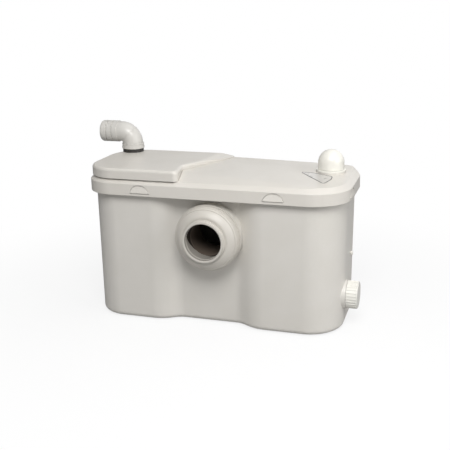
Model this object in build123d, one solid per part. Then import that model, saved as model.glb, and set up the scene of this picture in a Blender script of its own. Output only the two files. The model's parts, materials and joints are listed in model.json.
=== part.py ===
from build123d import *
import math
import os

os.makedirs("parts", exist_ok=True)

# All sizes are in millimetres and degrees. X runs along the tank, Y to the back, Z up from the floor.

# Cut overrun and fits
overrun = 1.0
block_reach_share = 4
middle_share = 0.5
running_gap = 0.05
soft_gap = 0.3
seat_gap = 0.2

# Lid outline and skirt
lid_half_length = 220.0
lid_left_bulge = 7.0
lid_half_depth = 90.0
lid_front_left_radius = 54.0
lid_front_right_radius = 66.0
lid_back_right_radius = 30.0
lid_back_left_radius = 45.0
lid_left_x = -lid_half_length - lid_left_bulge
lid_wall = 3.0
skirt_bottom_z = 221.8
skirt_top_z = 241.2
skirt_lean = 10.0
shoulder_slope = 45.0
shoulder_height = 20.0
shoulder_back_shift = 12.0

# Lid top: a shallow panel that falls to the front and to the right, and a steeper front band
panel_edge_inset = 10.0
panel_back_y = lid_half_depth - panel_edge_inset
panel_back_z = 258.9
panel_fall_right_share = 0.030
panel_fall_front_share = 0.029
band_front_x = -50.0
band_front_y = panel_edge_inset - lid_half_depth
band_front_z = 247.5
band_rise_right_share = 0.003
band_rise_back_share = 0.2425

# Tank outline at its base
tank_right_inset = 10.5
tank_left_inset = 9.0
tank_back_inset = 9.5
lobe_front_inset = 12.5
recess_depth = 17.5
tank_right_x = lid_half_length - tank_right_inset
tank_left_x = lid_left_x + tank_left_inset
tank_back_y = lid_half_depth - tank_back_inset
lobe_front_y = lobe_front_inset - lid_half_depth
recess_front_y = lobe_front_y + recess_depth
left_lobe_end_x = -93.0
recess_start_x = -65.0
recess_end_x = 40.0
right_lobe_start_x = 70.0
tank_front_left_radius = 50.0
tank_front_right_radius = 60.0
tank_back_right_radius = 26.0
tank_back_left_radius = 32.0
lobe_roll_radius = 60.0
recess_roll_radius = 30.0
tank_draft = 0.3
tank_wall = 3.0
tank_floor = 3.5
tank_base_radius = 9.0
pad_exposed = 1.5
rim_underside_z = 226.0
rim_thickness = 3.0
rim_inset = 5.6

# Rubber pads under the tank, in its corners and in the middle
pad_radius = 10.0
pad_recess = 2.0
pad_end_inset = 44.5
pad_back_inset = 38.5
pad_x = tank_right_x - pad_end_inset
pad_y = tank_back_y - pad_back_inset

# Inner cover, a flanged tray that carries the motor and keeps the wiring dry
gasket_thickness = 2.0
gasket_mouth_inset = 1.5
deck_thickness = 3.0
deck_inset = 2.0
tray_left_inset = 68.0
tray_right_inset = 19.5
tray_front_inset = 27.5
tray_back_inset = 18.5
tray_left_x = tank_left_x + tray_left_inset
tray_right_x = tank_right_x - tray_right_inset
tray_front_y = lobe_front_y + tray_front_inset
tray_back_y = tank_back_y - tray_back_inset
tray_corner_radius = 12.0
tray_wall = 3.0
tray_floor_top_z = 206.0
cover_screw_radius = 2.0
cover_screw_head_radius = 4.0
cover_screw_head_height = 3.0
cover_screw_slot_half_width = 0.5
cover_screw_slot_depth = 1.5
cover_screw_length = 16.0
cover_boss_radius = 7.0
cover_boss_height = 40.0
cover_boss_back_inset = 6.5
cover_boss_front_inset = 7.5
cover_boss_back_y = tank_back_y - cover_boss_back_inset
cover_boss_front_y = lobe_front_y + cover_boss_front_inset
cover_boss_back_shares = (-0.67, -0.10, 0.43, 0.86)
cover_boss_front_shares = (-0.86, -0.55, 0.45, 0.72)

# Pump and motor, on one vertical axis
motor_x = 66.0
motor_y = 0.0
motor_radius = 46.0
motor_can_wall = 2.5
motor_bottom_z = 118.0
bracket_thickness = 6.0
bearing_outer_radius = 11.0
bearing_height = 8.0
bearing_hub_wall = 4.0
lower_bearing_z = 118.0
upper_bearing_drop = 4.0
upper_bearing_top_z = tray_floor_top_z - tray_wall - upper_bearing_drop
stator_bottom_z = 138.0
stator_top_z = 180.0
air_gap = 0.6
rotor_core_radius = 22.0
coil_height = 8.5
coil_outer_radius = 37.0
coil_inner_radius = 25.5
shaft_radius = 5.0
shaft_bottom_z = 13.0
shaft_seal_radius = 9.0
shaft_seal_height = 8.0
tie_bolt_radius = 1.8
tie_bolt_circle_radius = 41.0
tie_bolt_head_radius = 3.5
tie_bolt_head_height = 3.0
tie_bolt_count = 4
tie_bolt_start_angle = 45.0

# Macerator basket and cutter
basket_left_x = -5.0
basket_bottom_z = 36.0
basket_wall = 2.5
basket_hole_radius = 4.0
basket_hole_rows = 4
basket_hole_row_step = 16.0
basket_first_row_z = 54.0
basket_hole_columns = 5
basket_end_holes = 5
basket_shaft_gap = 2.0
cutter_bottom_z = 44.0
cutter_thickness = 4.0
cutter_tip_radius = 40.0
cutter_width = 14.0
cutter_hub_radius = 10.0
cutter_hub_height = 10.0
cutter_tooth_height = 9.0
cutter_tooth_length = 6.0

# Volute, impeller and suction plate
volute_bottom_z = 12.0
volute_top_wall = 6.0
volute_chamber_radius = 36.0
suction_plate_thickness = 4.0
suction_eye_radius = 14.0
suction_foot_radius = 5.0
suction_foot_circle_radius = 30.0
suction_foot_count = 3
suction_foot_start_angle = 60.0
impeller_radius = 33.0
impeller_disc_thickness = 3.0
impeller_disc_z = 24.0
impeller_vane_height = 7.0
impeller_vane_thickness = 2.5
impeller_vane_count = 6
impeller_hub_radius = 9.0
impeller_nut_radius = 8.0
impeller_nut_height = 5.0
impeller_nut_sides = 6
shaft_hole_gap = 0.5
pump_screw_radius = 2.0
pump_screw_head_radius = 3.5
pump_screw_head_height = 2.5
pump_screw_length = 14.0
pump_screw_circle_radius = 41.0
pump_screw_angles = (105.0, 190.0, 280.0, 345.0)

# Discharge pipe, from the volute along the back of the floor and up the corner
pipe_radius = 12.5
pipe_wall = 2.5
pipe_z = 22.6
pipe_back_inset = 18.5
pipe_back_y = tank_back_y - pipe_back_inset
pipe_bend_radius = 22.0
pipe_socket_wall = 2.5
pipe_socket_reach = 44.0
pipe_insertion = 10.0
outlet_inset = 1.2
riser_inset = 25.0
riser_x = tank_left_x + riser_inset
riser_top_z = 242.5
grommet_wall = 3.4
grommet_flange = 2.5
grommet_lip = 2.0

# Non-return valve on the riser, carried by the service cover
valve_bottom_z = 236.5
valve_radius = 17.0
valve_socket_gap = 0.4
valve_seat_thickness = 3.0
valve_seat_radius = 9.0
valve_chamber_radius = 13.6
valve_shoulder_z = 262.0
stub_radius = 15.0
stub_bore_radius = 12.5
stub_top_z = 280.0
valve_flap_radius = 11.4
valve_flap_thickness = 1.8
flap_knuckle_radius = 2.4
flap_knuckle_length = 9.0
flap_pin_radius = 1.2
flap_pin_offset = 10.0
valve_pin_length = 20.0

# Rubber coupler and discharge elbow
coupler_band_radius = 18.7
coupler_band_top_z = 271.5
coupler_sleeve_wall = 2.0
elbow_socket_radius = 19.5
elbow_rim_radius = 20.0
elbow_rim_height = 3.6
elbow_tube_radius = 17.8
elbow_bore_radius = 15.0
elbow_bend_radius = 20.0
elbow_leg_z = 301.0
elbow_reach = 57.0
elbow_end_x = riser_x - elbow_reach
elbow_barb_radius = 19.0
elbow_barb_length = 9.5
elbow_barb_pitch = 10.5
elbow_barb_count = 3
elbow_barb_end_gap = 1.0

# Raised service cover on the left of the lid
service_left_inset = 5.0
service_front_inset = 5.0
service_back_inset = 7.0
service_front_right_x = -54.0
service_waist_x = -62.0
service_waist_y = -38.0
service_back_right_x = -3.0
service_front_left_radius = 36.0
service_back_left_radius = 62.0
service_front_right_radius = 8.0
service_waist_radius = 20.0
service_back_right_radius = 6.0
service_wall = 2.8
service_seat_z = 248.2
service_top_z = 265.5
service_edge_radius = 5.0
service_gap = 0.4
valve_hole_gap = 1.6
service_collar_wall = 3.0
service_collar_top_z = 258.0
ramp_top_near_x = -47.0
ramp_top_near_y = -5.0
ramp_top_far_x = -36.0
ramp_top_far_inset = 30.0
ramp_top_far_y = lid_half_depth - ramp_top_far_inset
ramp_foot_x = -3.0
ramp_foot_inset = 8.0
ramp_foot_y = lid_half_depth - ramp_foot_inset
ramp_foot_z = 259.2
access_riser_gap = 33.0
access_left_x = riser_x + access_riser_gap
access_right_x = -95.0
access_half_depth = 45.0
access_corner_radius = 10.0

# Vent on the right of the lid
vent_end_inset = 46.0
vent_back_inset = 59.0
vent_x = lid_half_length - vent_end_inset
vent_y = lid_half_depth - vent_back_inset
vent_boss_radius = 24.5
vent_boss_top_z = 254.0
vent_flange_height = 3.5
vent_tube_radius = 15.0
vent_tube_bottom_z = 236.0
vent_bore_radius = 13.0
vent_lip_radius = 10.0
vent_lip_height = 3.0
vent_spigot_radius = 19.2
vent_spigot_height = 6.0
vent_seat_bore_radius = 9.0
filter_height = 11.0
diaphragm_radius = 12.0
diaphragm_thickness = 1.2
dome_radius = 21.5
dome_wall = 2.0
dome_top_z = 290.0

# Blank label plate let into the lid, its corners measured from the vent's centre
label_corners = [
    (-47.5, -18.5, 2.5),
    (1.5, -80.0, 3.0),
    (9.5, -51.0, 25.0),
    (8.0, -31.0, 6.0),
    (-28.0, -16.5, 10.0),
]
label_thickness = 0.8
label_proud = 0.3
label_gap = 0.1

# Snap tabs in the skirt
tab_half_width = 16.8
tab_height = 13.2
tab_bottom_z = 226.4
tab_proud = 2.4
tab_depth = 3.4
tab_scoop_lean = 12.0
tab_reach = 18.0
tab_left_x = -120.0
tab_right_x = 104.0
tab_side_y = -22.0

# Toilet inlet on the front
inlet_x = -5.0
inlet_z = 158.5
inlet_boss_radius = 54.0
inlet_boss_step = 2.5
inlet_boss_front_y = lobe_front_y - inlet_boss_step
inlet_boss_bore_radius = 36.5
inlet_boss_back_y = recess_front_y + tank_wall
collar_radius = 55.0
collar_length = 24.6
collar_flange_length = 4.5
collar_ridge_start = 6.5
collar_ridge_end = 10.0
collar_shoulder_start = 12.0
collar_bulge_reach = 19.4
collar_front_y = inlet_boss_front_y - collar_length
collar_groove_radius = 52.6
collar_ridge_radius = 54.4
collar_flange_back_y = inlet_boss_front_y - collar_flange_length
collar_ridge_start_y = inlet_boss_front_y - collar_ridge_start
collar_ridge_end_y = inlet_boss_front_y - collar_ridge_end
collar_shoulder_y = inlet_boss_front_y - collar_shoulder_start
collar_bulge_radius = 47.2
collar_bulge_y = inlet_boss_front_y - collar_bulge_reach
collar_nose_radius = 39.0
sleeve_radius = 36.0
sleeve_lip_radius = 34.2
sleeve_lip_length = 5.0
sleeve_reach = 32.0
sleeve_length = 28.0
sleeve_front_y = inlet_boss_front_y - sleeve_reach
sleeve_back_y = sleeve_front_y + sleeve_length
sleeve_bore_radius = 30.5
inlet_seal_bore_radius = 29.5
inlet_seal_neck_radius = 33.0
inlet_seal_length = 52.0
inlet_seal_back_y = sleeve_back_y + inlet_seal_length

# Low side inlet on the right, with its cap and flap
side_y = -15.0
side_z = 57.0
side_boss_radius = 24.0
side_boss_sink = 7.2
side_boss_reach = 4.0
side_boss_start_x = tank_right_x - side_boss_sink
side_boss_end_x = tank_right_x + side_boss_reach
side_spigot_radius = 19.0
side_spigot_bore_radius = 15.5
side_spigot_sink = 15.0
side_spigot_reach = 18.5
side_spigot_inner_x = tank_right_x - side_spigot_sink
side_spigot_outer_x = tank_right_x + side_spigot_reach
side_flange_radius = 21.5
side_flange_thickness = 4.0
side_flap_radius = 16.2
side_flap_thickness = 2.0
side_pin_drop = 18.8
side_pin_length = 20.0
side_lug_thickness = 3.5
side_lug_gap = 0.4
side_lug_reach = 3.2
side_lug_half_height = 2.4
side_seal_radius = 18.5
side_seal_thickness = 1.4
cap_radius = 23.0
cap_body_radius = 22.2
cap_reach = 19.0
cap_start_x = side_boss_end_x + soft_gap
cap_end_x = side_boss_end_x + cap_reach
cap_end_wall = 3.0
cap_rib_count = 28
cap_rib_radius = 0.9
cap_edge_radius = 1.5

# Small blanking plug high on the right wall
plug_y = 31.0
plug_z = 114.0
plug_head_radius = 4.0
plug_head_height = 3.0
plug_shank_radius = 2.5
plug_sink = 4.5
plug_inner_x = tank_right_x - plug_sink

# Level control and wiring in the tray
switch_x = -105.0
switch_y = 5.0
bell_radius = 17.0
bell_wall = 2.0
bell_bottom_z = 20.0
bell_nipple_radius = 5.0
bell_nipple_height = 8.0
switch_radius = 26.0
switch_height = 18.0
switch_edge_radius = 2.0
plunger_radius = 4.0
plunger_bottom_z = 216.3
plunger_top_z = 228.0
plunger_tip_edge_radius = 1.0
capacitor_x = -20.0
capacitor_y = 25.0
capacitor_radius = 17.0
capacitor_length = 72.0
capacitor_edge_radius = 2.0
capacitor_lift = 1.5
saddle_length = 30.0
saddle_half_width = 21.0
saddle_height = 10.0
terminal_x = 140.0
terminal_y = 0.0
terminal_length = 44.0
terminal_width = 22.0
terminal_height = 18.0
terminal_ways = 5
terminal_screw_radius = 2.2
terminal_screw_depth = 6.0

# Cable gland through the back wall
gland_x = 150.0
gland_z = 212.2
gland_tube_radius = 6.0
gland_bore_radius = 3.7
gland_flange_radius = 9.0
gland_flange_thickness = 3.0
gland_boss_radius = 10.0
gland_boss_sink = 4.5
gland_boss_reach = 5.5
gland_sink = 26.5
gland_boss_start_y = tank_back_y - gland_boss_sink
gland_boss_end_y = tank_back_y + gland_boss_reach
gland_inner_y = tank_back_y - gland_sink
gland_nut_radius = 8.5
gland_nut_length = 11.0
gland_nut_edge_radius = 3.0


# Derived places
tank_bottom_z = pad_exposed
tank_floor_z = tank_bottom_z + tank_floor
rim_top_z = rim_underside_z + rim_thickness
deck_bottom_z = rim_top_z + gasket_thickness
deck_top_z = deck_bottom_z + deck_thickness
tray_bottom_z = tray_floor_top_z - tray_wall
lid_plate_z = service_seat_z - lid_wall
volute_top_z = basket_bottom_z
volute_chamber_top_z = volute_top_z - volute_top_wall
suction_bottom_z = volute_bottom_z - suction_plate_thickness
basket_top_z = motor_bottom_z - bracket_thickness
outlet_bore_radius = pipe_radius - pipe_wall
outlet_x = motor_x + volute_chamber_radius - outlet_bore_radius - outlet_inset
vent_flange_top_z = vent_boss_top_z + vent_flange_height
vent_spigot_top_z = vent_flange_top_z + vent_spigot_height


# Shared solids
def box(x0, x1, y0, y1, z0, z1):
    """A box between two corners."""
    solid = Box(x1 - x0, y1 - y0, z1 - z0, align=(Align.MIN, Align.MIN, Align.MIN))
    return Pos(x0, y0, z0) * solid


def rod_z(radius, x, y, z0, z1):
    """An upright cylinder."""
    solid = Cylinder(radius, z1 - z0, align=(Align.CENTER, Align.CENTER, Align.MIN))
    return Pos(x, y, z0) * solid


def rod_y(radius, x, z, y0, y1):
    """A cylinder along Y."""
    solid = Cylinder(radius, y1 - y0, align=(Align.CENTER, Align.CENTER, Align.MIN))
    return Pos(x, y0, z) * Rot(-90, 0, 0) * solid


def rod_x(radius, y, z, x0, x1):
    """A cylinder along X."""
    solid = Cylinder(radius, x1 - x0, align=(Align.CENTER, Align.CENTER, Align.MIN))
    return Pos(x0, y, z) * Rot(0, 90, 0) * solid


def tube_z(outer, inner, x, y, z0, z1):
    """An upright tube."""
    return rod_z(outer, x, y, z0, z1) - rod_z(inner, x, y, z0 - overrun, z1 + overrun)


def on_circle(radius, angle, x, y):
    """A point on a circle about an upright axis."""
    turn = math.radians(angle)
    return x + radius * math.cos(turn), y + radius * math.sin(turn)


def rounded_face(corners, z, grow=0.0):
    """A face from (x, y, radius) corners at a height, grown outward by an offset."""
    points = [(x, y) for x, y, _ in corners]
    face = make_face(FilletPolyline(*points, radius=[radius for _, _, radius in corners], close=True))
    if grow:
        face = offset(face, grow)
    return Pos(0, 0, z) * face


def above_plane(plane):
    """A large block that fills the side of a plane its normal points to."""
    reach = block_reach_share * lid_half_length
    return plane * Box(reach, reach, reach, align=(Align.CENTER, Align.CENTER, Align.MIN))


# Lid outline and its top planes
def lid_corners():
    """Corners of the lid at the foot of its skirt."""
    return [
        (lid_left_x, -lid_half_depth, lid_front_left_radius),
        (lid_half_length, -lid_half_depth, lid_front_right_radius),
        (lid_half_length, lid_half_depth, lid_back_right_radius),
        (lid_left_x, lid_half_depth, lid_back_left_radius),
    ]


def panel_plane(drop=0.0):
    """The shallow plane of the lid's top panel."""
    normal = Vector(panel_fall_right_share, -panel_fall_front_share, 1)
    across = Vector(1, 0, -panel_fall_right_share)
    return Plane(origin=(0, panel_back_y, panel_back_z - drop), x_dir=across, z_dir=normal)


def band_plane(drop=0.0):
    """The steeper plane along the lid's front edge."""
    normal = Vector(-band_rise_right_share, -band_rise_back_share, 1)
    across = Vector(1, 0, band_rise_right_share)
    return Plane(origin=(band_front_x, band_front_y, band_front_z - drop), x_dir=across, z_dir=normal)


def skirt_block(height, grow=0.0):
    """The leaning volume inside the skirt, continued upward."""
    return extrude(rounded_face(lid_corners(), skirt_bottom_z, grow), height, taper=skirt_lean)


def lid_block(grow=0.0, drop=0.0):
    """The solid volume under the lid's outer or inner surface."""
    skirt_height = skirt_top_z - skirt_bottom_z
    lean = skirt_height * math.tan(math.radians(skirt_lean))
    rise = shoulder_height - drop
    corners = [
        (x, y + shoulder_back_shift if y > 0 else y, radius) for x, y, radius in lid_corners()
    ]
    shoulder = extrude(rounded_face(corners, skirt_top_z, grow - lean), rise, taper=shoulder_slope)
    block = skirt_block(skirt_height, grow) + (shoulder & skirt_block(skirt_height + rise, grow))
    return block - above_plane(panel_plane(drop)) - above_plane(band_plane(drop))


def service_corners():
    """Corners of the service cover's outline."""
    left = lid_left_x + service_left_inset
    front = service_front_inset - lid_half_depth
    back = lid_half_depth - service_back_inset
    return [
        (left, front, service_front_left_radius),
        (service_front_right_x, front, service_front_right_radius),
        (service_waist_x, service_waist_y, service_waist_radius),
        (service_back_right_x, back, service_back_right_radius),
        (left, back, service_back_left_radius),
    ]


def service_prism(z0, z1, grow=0.0):
    """An upright block on the service cover's outline."""
    return extrude(rounded_face(service_corners(), z0, grow), z1 - z0)


def ramp_plane(drop=0.0):
    """The sloped side of the service cover, from its top edge down to the lid panel."""
    near = Vector(ramp_top_near_x, ramp_top_near_y, service_top_z - drop)
    far = Vector(ramp_top_far_x, ramp_top_far_y, service_top_z - drop)
    foot = Vector(ramp_foot_x, ramp_foot_y, ramp_foot_z - drop)
    along = far - near
    normal = (foot - near).cross(along)
    return Plane(origin=near, x_dir=along, z_dir=normal)


# Tank
def tank_corners():
    """Corners of the tank's wavy outline at its base."""
    return [
        (tank_left_x, lobe_front_y, tank_front_left_radius),
        (left_lobe_end_x, lobe_front_y, lobe_roll_radius),
        (recess_start_x, recess_front_y, recess_roll_radius),
        (recess_end_x, recess_front_y, recess_roll_radius),
        (right_lobe_start_x, lobe_front_y, lobe_roll_radius),
        (tank_right_x, lobe_front_y, tank_front_right_radius),
        (tank_right_x, tank_back_y, tank_back_right_radius),
        (tank_left_x, tank_back_y, tank_back_left_radius),
    ]


def tank_block(z0, z1, grow, edge_radius):
    """The drafted tank volume with a rounded bottom edge."""
    block = extrude(rounded_face(tank_corners(), z0, grow), z1 - z0, taper=-tank_draft)
    bottom = block.edges().group_by(Axis.Z)[0]
    return fillet(bottom, edge_radius)


def cover_screw_places():
    """Places of the inner cover's screws."""
    back = [(share * tank_right_x, cover_boss_back_y) for share in cover_boss_back_shares]
    front = [(share * tank_right_x, cover_boss_front_y) for share in cover_boss_front_shares]
    return back + front


def pad_places():
    """Places of the rubber pads: one near each corner and one in the middle."""
    return [(x, y) for x in (-pad_x, pad_x) for y in (-pad_y, pad_y)] + [(0, 0)]


def make_tank():
    """Open tank with the wavy front, rim flange, inlet bosses and screw bosses."""
    outer = tank_block(tank_bottom_z, rim_top_z, 0.0, tank_base_radius)
    hollow_radius = tank_base_radius - tank_wall
    hollow = tank_block(tank_floor_z, rim_top_z + overrun, -tank_wall, hollow_radius)
    rim = extrude(rounded_face(lid_corners(), rim_underside_z, -rim_inset), rim_thickness)
    inlet_boss = rod_y(inlet_boss_radius, inlet_x, inlet_z, inlet_boss_front_y, inlet_boss_back_y)
    side_boss = rod_x(side_boss_radius, side_y, side_z, side_boss_start_x, side_boss_end_x)
    gland_boss = rod_y(gland_boss_radius, gland_x, gland_z, gland_boss_start_y, gland_boss_end_y)
    tank = outer + rim - hollow
    bosses = [
        rod_z(cover_boss_radius, x, y, rim_top_z - cover_boss_height, rim_top_z)
        for x, y in cover_screw_places()
    ]
    inner_bosses = [boss & outer for boss in bosses]
    tank = tank + inlet_boss + side_boss + gland_boss
    for boss in inner_bosses:
        tank = tank + boss
    tank = tank - rod_y(
        inlet_boss_bore_radius, inlet_x, inlet_z, inlet_boss_front_y - overrun, inlet_boss_back_y + overrun
    )
    tank = tank - rod_x(
        side_spigot_radius, side_y, side_z, side_boss_start_x - overrun, side_boss_end_x + overrun
    )
    tank = tank - rod_y(
        gland_tube_radius, gland_x, gland_z, gland_boss_start_y - overrun, gland_boss_end_y + overrun
    )
    tank = tank - rod_x(plug_shank_radius, plug_y, plug_z, plug_inner_x, side_boss_end_x)
    for x, y in cover_screw_places():
        tank = tank - rod_z(cover_screw_radius, x, y, deck_top_z - cover_screw_length, rim_top_z + overrun)
    for x, y in pad_places():
        tank = tank - rod_z(pad_radius, x, y, tank_bottom_z - overrun, tank_bottom_z + pad_recess)
    return tank


def make_base_pads():
    """Rubber pads let into the tank's underside."""
    return [rod_z(pad_radius, x, y, 0, tank_bottom_z + pad_recess) for x, y in pad_places()]


# Inner cover and its seal
def make_rim_gasket():
    """Flat gasket between the tank rim and the inner cover."""
    face = rounded_face(lid_corners(), rim_top_z, -rim_inset - deck_inset)
    inner = rounded_face(tank_corners(), rim_top_z, -gasket_mouth_inset)
    gasket = extrude(face, gasket_thickness) - extrude(inner, gasket_thickness)
    ears = [rod_z(cover_boss_radius, x, y, rim_top_z, deck_bottom_z) for x, y in cover_screw_places()]
    for ear in ears:
        gasket = gasket + (ear & extrude(face, gasket_thickness))
    for x, y in cover_screw_places():
        gasket = gasket - rod_z(cover_screw_radius, x, y, rim_top_z - overrun, deck_bottom_z + overrun)
    return gasket


def tie_bolt_places():
    """Places of the motor's tie bolts."""
    step = 360 / tie_bolt_count
    angles = [tie_bolt_start_angle + step * index for index in range(tie_bolt_count)]
    return [on_circle(tie_bolt_circle_radius, angle, motor_x, motor_y) for angle in angles]


def make_inner_cover():
    """Flanged tray that closes the tank and carries the motor and the wiring."""
    deck = extrude(rounded_face(lid_corners(), deck_bottom_z, -rim_inset - deck_inset), deck_thickness)
    corners = [
        (tray_left_x, tray_front_y, tray_corner_radius),
        (tray_right_x, tray_front_y, tray_corner_radius),
        (tray_right_x, tray_back_y, tray_corner_radius),
        (tray_left_x, tray_back_y, tray_corner_radius),
    ]
    tray = extrude(rounded_face(corners, tray_bottom_z), deck_top_z - tray_bottom_z)
    hollow = extrude(rounded_face(corners, tray_floor_top_z, -tray_wall), deck_top_z - tray_floor_top_z + overrun)
    cover = deck + tray - hollow
    grommet_hole = pipe_radius + grommet_wall
    cover = cover - rod_z(grommet_hole, riser_x, pipe_back_y, deck_bottom_z - overrun, deck_top_z + overrun)
    for x, y in cover_screw_places():
        cover = cover - rod_z(cover_screw_radius, x, y, deck_bottom_z - overrun, deck_top_z + overrun)
    for x, y in tie_bolt_places():
        cover = cover - rod_z(tie_bolt_radius, x, y, tray_bottom_z - overrun, tray_floor_top_z + overrun)
    cover = cover - rod_z(
        bell_nipple_radius, switch_x, switch_y, tray_bottom_z - overrun, tray_floor_top_z + overrun
    )
    return cover - rod_y(
        gland_tube_radius, gland_x, gland_z, tray_back_y - tray_wall - overrun, tray_back_y + overrun
    )


def make_cover_screws():
    """Pan-head screws of the inner cover."""
    screws = []
    for x, y in cover_screw_places():
        shank = rod_z(cover_screw_radius, x, y, deck_top_z - cover_screw_length, deck_top_z)
        head = rod_z(cover_screw_head_radius, x, y, deck_top_z, deck_top_z + cover_screw_head_height)
        slot = box(
            x - cover_screw_head_radius, x + cover_screw_head_radius,
            y - cover_screw_slot_half_width, y + cover_screw_slot_half_width,
            deck_top_z + cover_screw_head_height - cover_screw_slot_depth,
            deck_top_z + cover_screw_head_height + overrun,
        )
        screws.append(shank + head - slot)
    return screws


# Toilet inlet
def make_inlet_collar():
    """Collar on the inlet boss: a flange and a ridge at its root, then a rounded nose up to the sleeve."""
    plane = Plane(origin=(inlet_x, 0, inlet_z), x_dir=(1, 0, 0), z_dir=(0, 0, 1))
    root = [
        (collar_groove_radius, collar_shoulder_y),
        (collar_groove_radius, collar_ridge_end_y),
        (collar_ridge_radius, collar_ridge_end_y),
        (collar_ridge_radius, collar_ridge_start_y),
        (collar_groove_radius, collar_ridge_start_y),
        (collar_groove_radius, collar_flange_back_y),
        (collar_radius, collar_flange_back_y),
        (collar_radius, inlet_boss_front_y),
        (sleeve_radius, inlet_boss_front_y),
        (sleeve_radius, collar_front_y),
        (collar_nose_radius, collar_front_y),
    ]
    nose = ThreePointArc(
        (collar_nose_radius, collar_front_y),
        (collar_bulge_radius, collar_bulge_y),
        (collar_groove_radius, collar_shoulder_y),
    )
    profile = plane * make_face(Curve() + Polyline(*root) + nose)
    return revolve(profile, Axis((inlet_x, 0, inlet_z), (0, 1, 0)))


def make_inlet_sleeve():
    """Lipped sleeve that guides the pan spigot."""
    body = rod_y(sleeve_radius, inlet_x, inlet_z, sleeve_front_y + sleeve_lip_length, sleeve_back_y)
    lip = rod_y(sleeve_lip_radius, inlet_x, inlet_z, sleeve_front_y, sleeve_front_y + sleeve_lip_length)
    bore = rod_y(
        sleeve_bore_radius, inlet_x, inlet_z, sleeve_front_y - overrun, sleeve_back_y + overrun
    )
    return body + lip - bore


def make_inlet_seal():
    """Dark rubber lip seal behind the sleeve, reaching over the basket."""
    body = rod_y(sleeve_radius, inlet_x, inlet_z, sleeve_back_y, inlet_boss_back_y)
    neck = rod_y(inlet_seal_neck_radius, inlet_x, inlet_z, sleeve_back_y, inlet_seal_back_y)
    bore = rod_y(
        inlet_seal_bore_radius, inlet_x, inlet_z, sleeve_back_y - overrun, inlet_seal_back_y + overrun
    )
    return body + neck - bore


# Side inlet
def make_side_spigot():
    """Flanged spigot of the low side inlet, with lugs for its flap."""
    spigot = rod_x(side_spigot_radius, side_y, side_z, side_spigot_inner_x, side_spigot_outer_x)
    flange_start = side_boss_start_x - side_flange_thickness
    spigot = spigot + rod_x(side_flange_radius, side_y, side_z, flange_start, side_boss_start_x)
    pin_z = side_z + side_pin_drop
    inner = flap_knuckle_length / 2 + side_lug_gap
    for side in (-1, 1):
        near = side_y + side * inner
        far = side_y + side * (inner + side_lug_thickness)
        lug = box(
            side_spigot_inner_x - side_lug_reach, flange_start, min(near, far), max(near, far),
            pin_z - side_lug_half_height, pin_z + side_lug_half_height,
        )
        spigot = spigot + lug
    spigot = spigot - rod_x(
        side_spigot_bore_radius, side_y, side_z, side_spigot_inner_x - overrun, side_spigot_outer_x + overrun
    )
    knuckle_room = rod_y(
        flap_knuckle_radius + soft_gap, side_flap_pin_x(), pin_z, side_y - inner, side_y + inner
    )
    pin_x = side_flap_pin_x()
    half_pin = side_pin_length / 2
    pin_hole = rod_y(flap_pin_radius, pin_x, pin_z, side_y - half_pin, side_y + half_pin)
    return spigot - knuckle_room - pin_hole


def side_flap_pin_x():
    """Place of the side flap's hinge pin along X."""
    return side_spigot_inner_x - seat_gap - side_flap_thickness / 2


def make_side_flap():
    """Flap that closes the inner end of the side spigot."""
    pin_x = side_flap_pin_x()
    pin_z = side_z + side_pin_drop
    back_x = side_spigot_inner_x - seat_gap
    disc = rod_x(side_flap_radius, side_y, side_z, back_x - side_flap_thickness, back_x)
    half_knuckle = flap_knuckle_length / 2
    knuckle = rod_y(flap_knuckle_radius, pin_x, pin_z, side_y - half_knuckle, side_y + half_knuckle)
    bore = rod_y(
        flap_pin_radius + running_gap, pin_x, pin_z,
        side_y - half_knuckle - overrun, side_y + half_knuckle + overrun,
    )
    leaf = box(
        back_x - side_flap_thickness, back_x, side_y - half_knuckle, side_y + half_knuckle,
        side_z + side_flap_radius - flap_knuckle_radius, pin_z,
    )
    return disc + leaf + knuckle - bore


def make_side_flap_pin():
    """Hinge pin of the side flap."""
    half_pin = side_pin_length / 2
    return rod_y(
        flap_pin_radius, side_flap_pin_x(), side_z + side_pin_drop, side_y - half_pin, side_y + half_pin
    )


def make_side_seal():
    """Flat rubber washer inside the cap."""
    start = side_spigot_outer_x + running_gap
    return rod_x(side_seal_radius, side_y, side_z, start, start + side_seal_thickness)


def make_side_cap():
    """Ribbed screw cap of the side inlet."""
    body = rod_x(cap_body_radius, side_y, side_z, cap_start_x, cap_end_x)
    rim = body.edges().group_by(Axis.X)[-1]
    body = fillet(rim, cap_edge_radius)
    rib_length = cap_end_x - cap_edge_radius
    for index in range(cap_rib_count):
        turn = math.radians(index * 360 / cap_rib_count)
        y = side_y + (cap_radius - cap_rib_radius) * math.cos(turn)
        z = side_z + (cap_radius - cap_rib_radius) * math.sin(turn)
        body = body + rod_x(cap_rib_radius, y, z, cap_start_x, rib_length)
    hollow = rod_x(
        side_spigot_radius + soft_gap, side_y, side_z, cap_start_x - overrun, cap_end_x - cap_end_wall
    )
    return body - hollow


def make_side_plug():
    """Small blanking plug in the right wall."""
    head_start = side_boss_end_x - plug_head_height
    shank = rod_x(plug_shank_radius, plug_y, plug_z, plug_inner_x, side_boss_end_x - overrun)
    head = rod_x(plug_head_radius, plug_y, plug_z, head_start + overrun, side_boss_end_x + overrun)
    return shank + fillet(head.edges().group_by(Axis.X)[-1], plug_head_radius / 2)


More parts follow.
